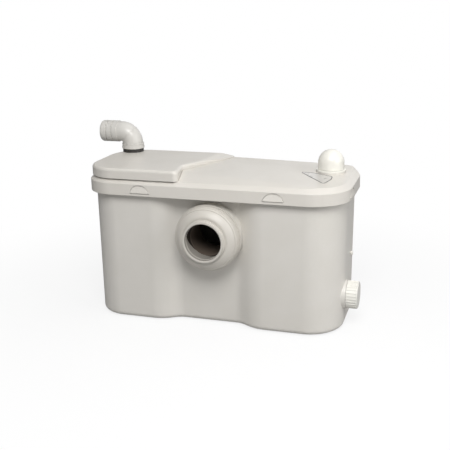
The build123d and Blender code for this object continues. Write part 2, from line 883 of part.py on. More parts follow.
# Pump
def make_basket():
    """Perforated macerator basket, open at the top under the inlet."""
    def stadium(z0, z1, shrink):
        radius = motor_radius - shrink
        ends = rod_z(radius, basket_left_x, motor_y, z0, z1) + rod_z(radius, motor_x, motor_y, z0, z1)
        return ends + box(basket_left_x, motor_x, motor_y - radius, motor_y + radius, z0, z1)

    basket = stadium(basket_bottom_z, basket_top_z, 0.0)
    basket = basket - stadium(basket_bottom_z + basket_wall, basket_top_z + overrun, basket_wall)
    basket = basket - rod_z(
        shaft_radius + basket_shaft_gap, motor_x, motor_y,
        basket_bottom_z - overrun, basket_bottom_z + basket_wall + overrun,
    )
    column_step = (motor_x - basket_left_x) / (basket_hole_columns - 1)
    end_step = 180 / (basket_end_holes + 1)
    reach = motor_radius + overrun
    holes = []
    for row in range(basket_hole_rows):
        z = basket_first_row_z + row * basket_hole_row_step
        for column in range(basket_hole_columns):
            x = basket_left_x + column * column_step
            holes.append(rod_y(basket_hole_radius, x, z, motor_y - reach, motor_y + reach))
        for index in range(basket_end_holes):
            angle = 90 + end_step * (index + 1)
            hole = rod_x(basket_hole_radius, 0, 0, 0, reach)
            holes.append(Pos(basket_left_x, motor_y, z) * Rot(0, 0, angle) * hole)
            holes.append(Pos(motor_x, motor_y, z) * Rot(0, 0, angle - 180) * hole)
    return basket - holes


def make_volute():
    """Pump body over the floor, with its tangential outlet socket."""
    body = rod_z(motor_radius, motor_x, motor_y, volute_bottom_z, volute_top_z)
    socket_radius = pipe_radius + pipe_socket_wall
    socket = rod_y(socket_radius, outlet_x, pipe_z, motor_y, motor_y + pipe_socket_reach)
    body = body + socket - rod_z(
        2 * motor_radius, motor_x, motor_y, volute_top_z, volute_top_z + socket_radius
    )
    chamber = rod_z(
        volute_chamber_radius, motor_x, motor_y, volute_bottom_z - overrun, volute_chamber_top_z
    )
    passage = rod_y(outlet_bore_radius, outlet_x, pipe_z, motor_y, motor_y + pipe_socket_reach)
    seat = rod_y(
        pipe_radius, outlet_x, pipe_z,
        motor_y + pipe_socket_reach - pipe_insertion, motor_y + pipe_socket_reach + overrun,
    )
    shaft_hole = rod_z(
        shaft_radius + shaft_hole_gap, motor_x, motor_y, volute_chamber_top_z - overrun, volute_top_z + overrun
    )
    body = body - chamber - passage - seat - shaft_hole
    for x, y in pump_screw_places():
        top = suction_bottom_z + pump_screw_length
        body = body - rod_z(pump_screw_radius, x, y, suction_bottom_z, top)
    return body


def pump_screw_places():
    """Places of the screws that hold the suction plate."""
    return [on_circle(pump_screw_circle_radius, angle, motor_x, motor_y) for angle in pump_screw_angles]


def make_suction_plate():
    """Wear plate with the suction eye, on three feet."""
    plate = rod_z(motor_radius, motor_x, motor_y, suction_bottom_z, volute_bottom_z)
    for index in range(suction_foot_count):
        angle = suction_foot_start_angle + index * 360 / suction_foot_count
        x, y = on_circle(suction_foot_circle_radius, angle, motor_x, motor_y)
        plate = plate + rod_z(suction_foot_radius, x, y, tank_floor_z, suction_bottom_z)
    plate = plate - rod_z(
        suction_eye_radius, motor_x, motor_y, suction_bottom_z - overrun, volute_bottom_z + overrun
    )
    plate = plate - rod_y(
        pipe_radius + pipe_socket_wall + seat_gap, outlet_x, pipe_z,
        motor_y - seat_gap, motor_y + pipe_socket_reach,
    )
    for x, y in pump_screw_places():
        plate = plate - rod_z(pump_screw_radius, x, y, suction_bottom_z - overrun, volute_bottom_z + overrun)
    return plate


def make_pump_screws():
    """Screws up through the suction plate."""
    screws = []
    for x, y in pump_screw_places():
        head = rod_z(pump_screw_head_radius, x, y, suction_bottom_z - pump_screw_head_height, suction_bottom_z)
        shank = rod_z(pump_screw_radius, x, y, suction_bottom_z, suction_bottom_z + pump_screw_length)
        screws.append(head + shank)
    return screws


def make_impeller():
    """Open impeller with straight vanes."""
    top = impeller_disc_z + impeller_disc_thickness
    disc = rod_z(impeller_radius, motor_x, motor_y, impeller_disc_z, top)
    hub = rod_z(impeller_hub_radius, motor_x, motor_y, impeller_disc_z - impeller_vane_height, top)
    wheel = disc + hub
    half_vane = impeller_vane_thickness / 2
    vane = box(0, impeller_radius - half_vane, -half_vane, half_vane, -impeller_vane_height, 0)
    for index in range(impeller_vane_count):
        angle = index * 360 / impeller_vane_count
        wheel = wheel + Pos(motor_x, motor_y, impeller_disc_z) * Rot(0, 0, angle) * vane
    return wheel - rod_z(
        shaft_radius, motor_x, motor_y, impeller_disc_z - impeller_vane_height - overrun, top + overrun
    )


def make_impeller_nut():
    """Hexagon nut under the impeller."""
    top = impeller_disc_z - impeller_vane_height
    hexagon = Pos(motor_x, motor_y, top - impeller_nut_height) * RegularPolygon(impeller_nut_radius, impeller_nut_sides)
    nut = extrude(hexagon, impeller_nut_height)
    return nut - rod_z(shaft_radius, motor_x, motor_y, top - impeller_nut_height - overrun, top + overrun)


def make_cutter():
    """Two-armed cutter with upturned teeth, in the basket."""
    half_width = cutter_width / 2
    top = cutter_bottom_z + cutter_thickness
    bar = box(
        motor_x - cutter_tip_radius, motor_x + cutter_tip_radius,
        motor_y - half_width, motor_y + half_width, cutter_bottom_z, top,
    )
    bar = bar & rod_z(cutter_tip_radius, motor_x, motor_y, cutter_bottom_z, top)
    hub = rod_z(cutter_hub_radius, motor_x, motor_y, cutter_bottom_z, cutter_bottom_z + cutter_hub_height)
    cutter = bar + hub
    tooth_end = math.sqrt(cutter_tip_radius ** 2 - half_width ** 2)
    for side in (-1, 1):
        near = motor_x + side * tooth_end
        far = motor_x + side * (tooth_end - cutter_tooth_length)
        tooth = box(
            min(near, far), max(near, far), motor_y - half_width, motor_y + half_width,
            top, top + cutter_tooth_height,
        )
        cutter = cutter + tooth
    return cutter - rod_z(
        shaft_radius, motor_x, motor_y, cutter_bottom_z - overrun, cutter_bottom_z + cutter_hub_height + overrun
    )


# Motor
def make_rotor_shaft():
    """Steel shaft from the impeller up to the top bearing."""
    return rod_z(shaft_radius, motor_x, motor_y, shaft_bottom_z, upper_bearing_top_z)


def make_rotor_core():
    """Laminated rotor on the shaft."""
    return tube_z(rotor_core_radius, shaft_radius, motor_x, motor_y, stator_bottom_z, stator_top_z)


def make_stator_core():
    """Laminated stator, notched for the tie bolts."""
    core = tube_z(
        motor_radius - motor_can_wall, rotor_core_radius + air_gap, motor_x, motor_y, stator_bottom_z, stator_top_z
    )
    for x, y in tie_bolt_places():
        core = core - rod_z(
            tie_bolt_radius + shaft_hole_gap, x, y, stator_bottom_z - overrun, stator_top_z + overrun
        )
    return core


def make_stator_coils():
    """Winding ends above and below the stator."""
    places = ((stator_bottom_z - coil_height, stator_bottom_z), (stator_top_z, stator_top_z + coil_height))
    return [tube_z(coil_outer_radius, coil_inner_radius, motor_x, motor_y, z0, z1) for z0, z1 in places]


def make_bearing(z0):
    """Sealed ball bearing around the shaft."""
    return tube_z(bearing_outer_radius, shaft_radius + running_gap, motor_x, motor_y, z0, z0 + bearing_height)


def make_motor_can():
    """Motor housing hung under the tray, with the top bearing's seat."""
    can = rod_z(motor_radius, motor_x, motor_y, motor_bottom_z, tray_bottom_z)
    roof_z = tray_bottom_z - motor_can_wall
    can = can - rod_z(motor_radius - motor_can_wall, motor_x, motor_y, motor_bottom_z - overrun, roof_z)
    seat_bottom = upper_bearing_top_z - bearing_height
    can = can + rod_z(bearing_outer_radius + bearing_hub_wall, motor_x, motor_y, seat_bottom, roof_z)
    can = can - rod_z(bearing_outer_radius, motor_x, motor_y, seat_bottom - overrun, upper_bearing_top_z)
    for x, y in tie_bolt_places():
        can = can - rod_z(tie_bolt_radius, x, y, roof_z - overrun, tray_bottom_z + overrun)
    return can


def make_motor_bracket():
    """Lower end bracket with the bottom bearing's seat."""
    plate_bottom = motor_bottom_z - bracket_thickness
    bracket = rod_z(motor_radius, motor_x, motor_y, plate_bottom, motor_bottom_z)
    hub_radius = bearing_outer_radius + bearing_hub_wall
    hub_top = lower_bearing_z + bearing_height
    bracket = bracket + rod_z(hub_radius, motor_x, motor_y, motor_bottom_z, hub_top)
    bracket = bracket - rod_z(bearing_outer_radius, motor_x, motor_y, lower_bearing_z, hub_top + overrun)
    bracket = bracket - rod_z(
        shaft_radius + shaft_hole_gap, motor_x, motor_y, plate_bottom - overrun, lower_bearing_z + overrun
    )
    for x, y in tie_bolt_places():
        bracket = bracket - rod_z(tie_bolt_radius, x, y, plate_bottom - overrun, motor_bottom_z + overrun)
    return bracket


def make_shaft_seal():
    """Mechanical seal under the bracket."""
    top = motor_bottom_z - bracket_thickness
    return tube_z(
        shaft_seal_radius, shaft_radius + running_gap, motor_x, motor_y, top - shaft_seal_height, top
    )


def make_tie_bolts():
    """Long bolts from the tray down through the motor."""
    bolts = []
    for x, y in tie_bolt_places():
        shank = rod_z(tie_bolt_radius, x, y, motor_bottom_z - bracket_thickness, tray_floor_top_z)
        head = rod_z(tie_bolt_head_radius, x, y, tray_floor_top_z, tray_floor_top_z + tie_bolt_head_height)
        bolts.append(shank + head)
    return bolts


# Discharge
def pipe_sweep(radius):
    """A round bar along the discharge pipe's route."""
    start_y = motor_y + pipe_socket_reach - pipe_insertion
    route = FilletPolyline(
        (outlet_x, start_y, pipe_z), (outlet_x, pipe_back_y, pipe_z),
        (riser_x, pipe_back_y, pipe_z), (riser_x, pipe_back_y, riser_top_z), radius=pipe_bend_radius,
    )
    section = Plane(origin=route @ 0, z_dir=route % 0) * Circle(radius)
    return sweep(section, path=route)


def make_discharge_pipe():
    """Pipe from the volute along the floor and up the corner."""
    return pipe_sweep(pipe_radius) - pipe_sweep(pipe_radius - pipe_wall)


def make_riser_grommet():
    """Rubber grommet where the riser passes the inner cover."""
    outer = pipe_radius + grommet_wall
    grommet = rod_z(outer, riser_x, pipe_back_y, deck_bottom_z, deck_top_z)
    lip_radius = outer + grommet_flange
    grommet = grommet + rod_z(lip_radius, riser_x, pipe_back_y, deck_top_z, deck_top_z + grommet_lip)
    return grommet - rod_z(
        pipe_radius, riser_x, pipe_back_y, deck_bottom_z - overrun, deck_top_z + grommet_lip + overrun
    )


def valve_seat_z():
    """Height of the flap's seat."""
    return riser_top_z + soft_gap + valve_seat_thickness


def valve_pin_z():
    """Height of the flap's pin."""
    return valve_seat_z() + seat_gap + flap_knuckle_radius


def make_valve_body():
    """Non-return valve body that plugs over the riser and carries the outlet stub."""
    body = rod_z(valve_radius, riser_x, pipe_back_y, valve_bottom_z, valve_shoulder_z)
    body = body + rod_z(stub_radius, riser_x, pipe_back_y, valve_shoulder_z, stub_top_z)
    socket_top = riser_top_z + soft_gap
    body = body - rod_z(
        pipe_radius + valve_socket_gap, riser_x, pipe_back_y, valve_bottom_z - overrun, socket_top
    )
    body = body - rod_z(valve_seat_radius, riser_x, pipe_back_y, socket_top - overrun, valve_seat_z() + overrun)
    chamber_top = valve_shoulder_z - (valve_radius - stub_radius)
    body = body - rod_z(valve_chamber_radius, riser_x, pipe_back_y, valve_seat_z(), chamber_top)
    body = body - rod_z(stub_bore_radius, riser_x, pipe_back_y, chamber_top - overrun, stub_top_z + overrun)
    half_pin = valve_pin_length / 2
    pin = rod_y(
        flap_pin_radius, riser_x + flap_pin_offset, valve_pin_z(), pipe_back_y - half_pin, pipe_back_y + half_pin
    )
    return body - pin


def make_valve_pin():
    """Hinge pin of the non-return flap."""
    half_pin = valve_pin_length / 2
    return rod_y(
        flap_pin_radius, riser_x + flap_pin_offset, valve_pin_z(), pipe_back_y - half_pin, pipe_back_y + half_pin
    )


def make_valve_flap():
    """Non-return flap over its seat."""
    bottom = valve_seat_z() + seat_gap
    disc = rod_z(valve_flap_radius, riser_x, pipe_back_y, bottom, bottom + valve_flap_thickness)
    disc = disc - box(
        riser_x + flap_pin_offset, riser_x + valve_radius,
        pipe_back_y - valve_radius, pipe_back_y + valve_radius,
        bottom - overrun, bottom + valve_flap_thickness + overrun,
    )
    half_knuckle = flap_knuckle_length / 2
    pin_x = riser_x + flap_pin_offset
    near = pipe_back_y - half_knuckle
    far = pipe_back_y + half_knuckle
    knuckle = rod_y(flap_knuckle_radius, pin_x, valve_pin_z(), near, far)
    half_pin = valve_pin_length / 2
    bore = rod_y(
        flap_pin_radius + running_gap, pin_x, valve_pin_z(), pipe_back_y - half_pin, pipe_back_y + half_pin
    )
    return disc + knuckle - bore


def make_rubber_coupler():
    """Black rubber coupler between the stub and the elbow."""
    band = rod_z(coupler_band_radius, riser_x, pipe_back_y, valve_shoulder_z, coupler_band_top_z)
    coupler_tube_radius = stub_radius + coupler_sleeve_wall
    sleeve = rod_z(coupler_tube_radius, riser_x, pipe_back_y, coupler_band_top_z, stub_top_z)
    return band + sleeve - rod_z(
        stub_radius, riser_x, pipe_back_y, valve_shoulder_z - overrun, stub_top_z + overrun
    )


def elbow_bar(radius, start_z, end_x):
    """A round bar along the elbow's route."""
    route = FilletPolyline(
        (riser_x, pipe_back_y, start_z), (riser_x, pipe_back_y, elbow_leg_z),
        (end_x, pipe_back_y, elbow_leg_z), radius=elbow_bend_radius,
    )
    section = Pos(riser_x, pipe_back_y, start_z) * Circle(radius)
    return sweep(section, path=route)


def make_elbow():
    """Right-angle discharge elbow with three barbs."""
    socket_z = coupler_band_top_z + soft_gap
    bend_start_z = elbow_leg_z - elbow_bend_radius
    elbow = elbow_bar(elbow_tube_radius, bend_start_z - overrun, elbow_end_x)
    elbow = elbow + rod_z(elbow_socket_radius, riser_x, pipe_back_y, socket_z, bend_start_z)
    elbow = elbow + rod_z(elbow_rim_radius, riser_x, pipe_back_y, socket_z, socket_z + elbow_rim_height)
    for index in range(elbow_barb_count):
        start = elbow_end_x + elbow_barb_end_gap + index * elbow_barb_pitch
        barb = rod_x(elbow_barb_radius, pipe_back_y, elbow_leg_z, start, start + elbow_barb_length)
        foot = barb.edges().group_by(Axis.X)[0]
        elbow = elbow + chamfer(foot, elbow_barb_radius - elbow_tube_radius)
    socket_bore = stub_radius + coupler_sleeve_wall + soft_gap
    elbow = elbow - rod_z(socket_bore, riser_x, pipe_back_y, socket_z - overrun, bend_start_z)
    return elbow - elbow_bar(elbow_bore_radius, bend_start_z - overrun, elbow_end_x - overrun)


# Lid
def tab_block(grow):
    """An upright block through the skirt in the shape of a low arch, standing on the tab's foot."""
    radius = (tab_half_width ** 2 + tab_height ** 2) / (2 * tab_height)
    arch = Pos(0, 0, tab_height - radius) * Cylinder(radius + grow, 2 * tab_reach, rotation=(90, 0, 0))
    span = radius + tab_reach
    return arch & box(-span, span, -tab_reach, tab_reach, -grow, tab_height + grow)


def tab_prism(index, grow=0.0):
    """The half-oval block in the place of a snap tab."""
    x, y, turn = tab_places()[index]
    return Pos(x, y, tab_bottom_z) * Rot(0, 0, turn) * tab_block(grow)


def tab_places():
    """Place and turn of each snap tab: two in front, two at the back, one on each end."""
    return [
        (tab_left_x, -lid_half_depth, 0),
        (tab_right_x, -lid_half_depth, 0),
        (lid_half_length, tab_side_y, 90),
        (tab_right_x, lid_half_depth, 180),
        (tab_left_x, lid_half_depth, 180),
        (lid_left_x, tab_side_y, -90),
    ]


def make_tab(index):
    """Arched snap tab, scooped at the top and proud of the skirt at the foot."""
    height = skirt_top_z - skirt_bottom_z
    foot = rounded_face(lid_corners(), skirt_bottom_z, tab_proud)
    scooped = extrude(foot, height, taper=skirt_lean + tab_scoop_lean)
    return (scooped - skirt_block(height, -tab_depth)) & tab_prism(index)


def label_body(grow=0.0):
    """The label's slab, partly sunk into the panel."""
    corners = [(vent_x + x, vent_y + y, radius) for x, y, radius in label_corners]
    prism = extrude(rounded_face(corners, skirt_top_z, grow), shoulder_height)
    slab = prism & above_plane(panel_plane(label_thickness - label_proud))
    return slab - above_plane(panel_plane(-label_proud))


def make_lid():
    """Main lid: leaning skirt, sloping top, ledge for the service cover and vent boss."""
    outer = lid_block()
    inner = lid_block(-lid_wall, lid_wall)
    under = extrude(rounded_face(lid_corners(), skirt_bottom_z - overrun, -lid_wall), overrun)
    ledge = service_prism(lid_plate_z, service_top_z, lid_wall) & outer
    boss = rod_z(vent_boss_radius, vent_x, vent_y, vent_tube_bottom_z + lid_wall, vent_boss_top_z)
    lid = outer - inner - under + ledge + boss
    lid = lid - service_prism(service_seat_z, service_top_z + overrun, service_gap)
    lid = lid - rod_z(
        vent_tube_radius, vent_x, vent_y, vent_tube_bottom_z, vent_boss_top_z + overrun
    )
    hole_radius = valve_radius + valve_hole_gap
    lid = lid - rod_z(hole_radius, riser_x, pipe_back_y, lid_plate_z - overrun, service_top_z)
    collar_room = valve_radius + service_collar_wall + service_gap
    lid = lid - rod_z(collar_room, riser_x, pipe_back_y, service_seat_z, service_top_z)
    access = [
        (access_left_x, -access_half_depth, access_corner_radius),
        (access_right_x, -access_half_depth, access_corner_radius),
        (access_right_x, access_half_depth, access_corner_radius),
        (access_left_x, access_half_depth, access_corner_radius),
    ]
    lid = lid - extrude(rounded_face(access, lid_plate_z - overrun), lid_wall + 2 * overrun)
    lid = lid - label_body(label_gap)
    for index in range(len(tab_places())):
        lid = lid - tab_prism(index, soft_gap)
    return lid


def make_service_cover():
    """Raised cover on the left, ramped on its right side, with a collar for the valve."""
    outer = service_prism(service_seat_z, service_top_z)
    top = outer.edges().group_by(Axis.Z)[-1]
    outer = fillet(top, service_edge_radius) - above_plane(ramp_plane())
    inner = service_prism(service_seat_z - overrun, service_top_z - service_wall, -service_wall)
    inner = inner - above_plane(ramp_plane(service_wall))
    ring_radius = valve_radius + service_collar_wall
    collar = rod_z(ring_radius, riser_x, pipe_back_y, service_seat_z, service_collar_top_z)
    cover = outer - inner + collar
    cover = cover - rod_z(
        valve_radius, riser_x, pipe_back_y, service_seat_z - overrun, service_top_z + overrun
    )
    return cover - rod_z(
        coupler_band_radius + soft_gap, riser_x, pipe_back_y, service_collar_top_z, service_top_z + overrun
    )


def make_label_plate():
    """Blank label plate."""
    return label_body()


# Vent
def make_vent_seat():
    """Vent fitting: flange on the lid, tube below and spigot for the dome."""
    seat = rod_z(vent_boss_radius, vent_x, vent_y, vent_boss_top_z, vent_flange_top_z)
    seat = seat + rod_z(vent_tube_radius, vent_x, vent_y, vent_tube_bottom_z, vent_boss_top_z)
    seat = seat + rod_z(vent_spigot_radius, vent_x, vent_y, vent_flange_top_z, vent_spigot_top_z)
    filter_floor = vent_tube_bottom_z + vent_lip_height
    seat = seat - rod_z(vent_bore_radius, vent_x, vent_y, filter_floor, vent_boss_top_z)
    seat = seat - rod_z(vent_lip_radius, vent_x, vent_y, vent_tube_bottom_z - overrun, filter_floor + overrun)
    seat = seat - rod_z(vent_seat_bore_radius, vent_x, vent_y, vent_boss_top_z - overrun, vent_spigot_top_z)
    return seat - rod_z(vent_bore_radius, vent_x, vent_y, vent_flange_top_z, vent_spigot_top_z + overrun)


def make_carbon_filter():
    """Odour filter disc in the vent tube."""
    bottom = vent_tube_bottom_z + vent_lip_height
    return rod_z(vent_bore_radius, vent_x, vent_y, bottom, bottom + filter_height)


def make_vent_diaphragm():
    """Loose disc that lets air in and holds it back."""
    bottom = vent_flange_top_z + running_gap
    return rod_z(diaphragm_radius, vent_x, vent_y, bottom, bottom + diaphragm_thickness)


def make_dome_cap():
    """Round-topped vent cap."""
    bottom = vent_flange_top_z + seat_gap
    centre_z = dome_top_z - dome_radius
    inner_radius = dome_radius - dome_wall
    centre = Pos(vent_x, vent_y, centre_z)
    ball = centre * Sphere(dome_radius) & rod_z(dome_radius, vent_x, vent_y, centre_z, dome_top_z)
    inner_ball = centre * Sphere(inner_radius) & rod_z(inner_radius, vent_x, vent_y, centre_z, dome_top_z)
    shell = rod_z(dome_radius, vent_x, vent_y, bottom, centre_z) + ball
    return shell - rod_z(inner_radius, vent_x, vent_y, bottom - overrun, centre_z) - inner_ball


# Level control and wiring
def make_air_bell():
    """Air bell that hangs under the tray, open at the bottom."""
    bell = rod_z(bell_radius, switch_x, switch_y, bell_bottom_z, tray_bottom_z)
    bell = bell - rod_z(
        bell_radius - bell_wall, switch_x, switch_y, bell_bottom_z - overrun, tray_bottom_z - bell_wall
    )
    bell = bell + rod_z(
        bell_nipple_radius, switch_x, switch_y, tray_bottom_z - bell_wall, tray_bottom_z + bell_nipple_height
    )
    return bell - rod_z(
        bell_nipple_radius / 2, switch_x, switch_y,
        tray_bottom_z - bell_wall - overrun, tray_bottom_z + bell_nipple_height + overrun,
    )


def make_pressure_switch():
    """Round pressure switch over the bell's nipple."""
    top = tray_floor_top_z + switch_height
    body = rod_z(switch_radius, switch_x, switch_y, tray_floor_top_z, top)
    body = fillet(body.edges().group_by(Axis.Z)[-1], switch_edge_radius)
    body = body - rod_z(
        bell_nipple_radius, switch_x, switch_y, tray_floor_top_z - overrun, tray_bottom_z + bell_nipple_height
    )
    return body - rod_z(
        plunger_radius + running_gap, switch_x, switch_y, plunger_bottom_z - seat_gap, top + overrun
    )


def make_switch_plunger():
    """Plunger that the air pressure lifts."""
    plunger = rod_z(plunger_radius, switch_x, switch_y, plunger_bottom_z, plunger_top_z)
    return fillet(plunger.edges().group_by(Axis.Z)[-1], plunger_tip_edge_radius)


def make_capacitor():
    """Run capacitor lying in its saddle."""
    z = tray_floor_top_z + capacitor_lift + capacitor_radius
    half = capacitor_length / 2
    body = rod_x(capacitor_radius, capacitor_y, z, capacitor_x - half, capacitor_x + half)
    return fillet(body.edges(), capacitor_edge_radius)


def make_capacitor_saddle():
    """Saddle that holds the capacitor on the tray."""
    half = saddle_length / 2
    z = tray_floor_top_z + capacitor_lift + capacitor_radius
    saddle = box(
        capacitor_x - half, capacitor_x + half, capacitor_y - saddle_half_width,
        capacitor_y + saddle_half_width, tray_floor_top_z, tray_floor_top_z + saddle_height,
    )
    return saddle - rod_x(
        capacitor_radius, capacitor_y, z, capacitor_x - half - overrun, capacitor_x + half + overrun
    )


def make_terminal_block():
    """Terminal block for the supply wires."""
    half = terminal_length / 2
    half_width = terminal_width / 2
    top = tray_floor_top_z + terminal_height
    block = box(
        terminal_x - half, terminal_x + half, terminal_y - half_width, terminal_y + half_width,
        tray_floor_top_z, top,
    )
    pitch = terminal_length / terminal_ways
    for index in range(terminal_ways):
        x = terminal_x - half + pitch * (index + middle_share)
        for y in (terminal_y - half_width / 2, terminal_y + half_width / 2):
            block = block - rod_z(terminal_screw_radius, x, y, top - terminal_screw_depth, top + overrun)
    return block


def make_cable_gland():
    """Cable gland through the back wall into the tray."""
    gland = rod_y(gland_tube_radius, gland_x, gland_z, gland_inner_y, gland_boss_end_y)
    flange_end = gland_boss_end_y + gland_flange_thickness
    gland = gland + rod_y(gland_flange_radius, gland_x, gland_z, gland_boss_end_y, flange_end)
    return gland - rod_y(
        gland_bore_radius, gland_x, gland_z, gland_inner_y - overrun, flange_end + overrun
    )


def make_gland_nut():
    """Domed compression nut of the gland."""
    start = gland_boss_end_y + gland_flange_thickness
    nut = rod_y(gland_nut_radius, gland_x, gland_z, start, start + gland_nut_length)
    nut = fillet(nut.edges().group_by(Axis.Y)[-1], gland_nut_edge_radius)
    return nut - rod_y(
        gland_bore_radius, gland_x, gland_z, start - overrun, start + gland_nut_length + overrun
    )


# Every node of the assembly
def make_all():
    """Builds every piece under its node name."""
    nodes = {
        "tank": make_tank(),
        "base_pads": make_base_pads(),
        "rim_gasket": make_rim_gasket(),
        "inner_cover": make_inner_cover(),
        "cover_screws": make_cover_screws(),
        "inlet_collar": make_inlet_collar(),
        "inlet_sleeve": make_inlet_sleeve(),
        "inlet_seal": make_inlet_seal(),
        "side_spigot": make_side_spigot(),
        "side_flap_pin": make_side_flap_pin(),
        "side_flap": make_side_flap(),
        "side_seal": make_side_seal(),
        "side_cap": make_side_cap(),
        "side_plug": make_side_plug(),
        "macerator_basket": make_basket(),
        "cutter": make_cutter(),
        "pump_volute": make_volute(),
        "suction_plate": make_suction_plate(),
        "pump_screws": make_pump_screws(),
        "impeller": make_impeller(),
        "impeller_nut": make_impeller_nut(),
        "rotor_shaft": make_rotor_shaft(),
        "rotor_core": make_rotor_core(),
        "stator_core": make_stator_core(),
        "stator_coils": make_stator_coils(),
        "upper_bearing": make_bearing(upper_bearing_top_z - bearing_height),
        "lower_bearing": make_bearing(lower_bearing_z),
        "motor_can": make_motor_can(),
        "motor_bracket": make_motor_bracket(),
        "shaft_seal": make_shaft_seal(),
        "tie_bolts": make_tie_bolts(),
        "discharge_pipe": make_discharge_pipe(),
        "riser_grommet": make_riser_grommet(),
        "valve_body": make_valve_body(),
        "valve_pin": make_valve_pin(),
        "valve_flap": make_valve_flap(),
        "rubber_coupler": make_rubber_coupler(),
        "discharge_elbow": make_elbow(),
        "lid": make_lid(),
        "service_cover": make_service_cover(),
        "label_plate": make_label_plate(),
        "vent_seat": make_vent_seat(),
        "carbon_filter": make_carbon_filter(),
        "vent_diaphragm": make_vent_diaphragm(),
        "dome_cap": make_dome_cap(),
        "air_bell": make_air_bell(),
        "pressure_switch": make_pressure_switch(),
        "switch_plunger": make_switch_plunger(),
        "capacitor": make_capacitor(),
        "capacitor_saddle": make_capacitor_saddle(),
        "terminal_block": make_terminal_block(),
        "cable_gland": make_cable_gland(),
        "gland_nut": make_gland_nut(),
    }
    tab_names = (
        "tab_front_left", "tab_front_right", "tab_right", "tab_back_right", "tab_back_left", "tab_left",
    )
    for index, name in enumerate(tab_names):
        nodes[name] = make_tab(index)
    return nodes


for name, shape in make_all().items():
    solid = Compound(children=list(shape)) if isinstance(shape, list) else shape
    export_step(solid, f"parts/{name}.step")
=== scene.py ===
"""Macerator toilet pump: materials, rounded shells, label, floor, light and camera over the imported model."""
import json
import logging
import math
from collections.abc import Callable
from dataclasses import dataclass
from enum import Enum

import bpy
from mathutils import Matrix, Vector

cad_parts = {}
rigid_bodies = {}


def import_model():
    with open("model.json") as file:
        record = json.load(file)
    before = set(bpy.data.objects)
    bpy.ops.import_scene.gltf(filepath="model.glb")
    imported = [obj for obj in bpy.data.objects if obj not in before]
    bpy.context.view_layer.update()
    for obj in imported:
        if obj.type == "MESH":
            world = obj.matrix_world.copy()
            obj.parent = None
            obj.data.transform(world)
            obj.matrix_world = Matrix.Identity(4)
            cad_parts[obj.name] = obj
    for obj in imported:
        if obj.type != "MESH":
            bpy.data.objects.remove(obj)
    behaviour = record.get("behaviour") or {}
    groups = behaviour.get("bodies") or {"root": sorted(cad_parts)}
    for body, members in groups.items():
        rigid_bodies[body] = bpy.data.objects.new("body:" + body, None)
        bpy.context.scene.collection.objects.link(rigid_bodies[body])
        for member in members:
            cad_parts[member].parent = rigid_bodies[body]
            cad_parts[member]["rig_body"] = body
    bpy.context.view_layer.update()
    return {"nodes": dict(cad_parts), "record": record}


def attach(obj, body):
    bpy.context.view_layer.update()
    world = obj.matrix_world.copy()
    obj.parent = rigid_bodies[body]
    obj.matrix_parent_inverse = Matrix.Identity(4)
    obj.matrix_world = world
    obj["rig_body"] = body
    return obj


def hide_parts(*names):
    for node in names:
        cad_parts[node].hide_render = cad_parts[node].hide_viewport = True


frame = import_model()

LOG = logging.getLogger("macerator_pump")

Vec = tuple[float, float, float]

WELD_DISTANCE = 0.000002
FLAT_ANGLE = 0.4
SHARP_ANGLE = 40.0
BEVEL_SEGMENTS = 2
CORNER_WEIGHT = 50
RING_FACES = 8
RING_SMOOTH_ANGLE = 60.0
COAT_ROUGHNESS = 0.18
EDGE_SAMPLES = 4

SKIRT_MIDDLE_Z = 0.2315
SKIRT_TOP_Z = 0.2412
SKIRT_FADE_Z = 0.2475
SKIRT_SHIFT_SHARE = 0.15
LID_HALF_LENGTH = 0.22
LID_HALF_DEPTH = 0.09


class Surface(Enum):
    """How a finish breaks up its colour, gloss and relief."""

    MOULDED = "moulded"
    RUBBER = "rubber"
    METAL = "metal"
    WOUND = "wound"
    FOAM = "foam"


class Sheen(Enum):
    """Whether a finish carries a clear glossy layer."""

    BARE = 0.0
    SATIN = 0.12
    GLOSSY = 0.35


@dataclass(frozen=True)
class Finish:
    """One surface finish of the pump.

    Colours are linear. Depths and radii are in metres, scales are patterns per metre.
    """

    name: str
    colour: Vec
    shade: Vec
    surface: Surface
    roughness: float
    rough_spread: float = 0.05
    metallic: float = 0.0
    sheen: Sheen = Sheen.BARE
    patch_scale: float = 18.0
    grain_scale: float = 1400.0
    grain_depth: float = 0.00003
    edge_radius: float = 0.0008


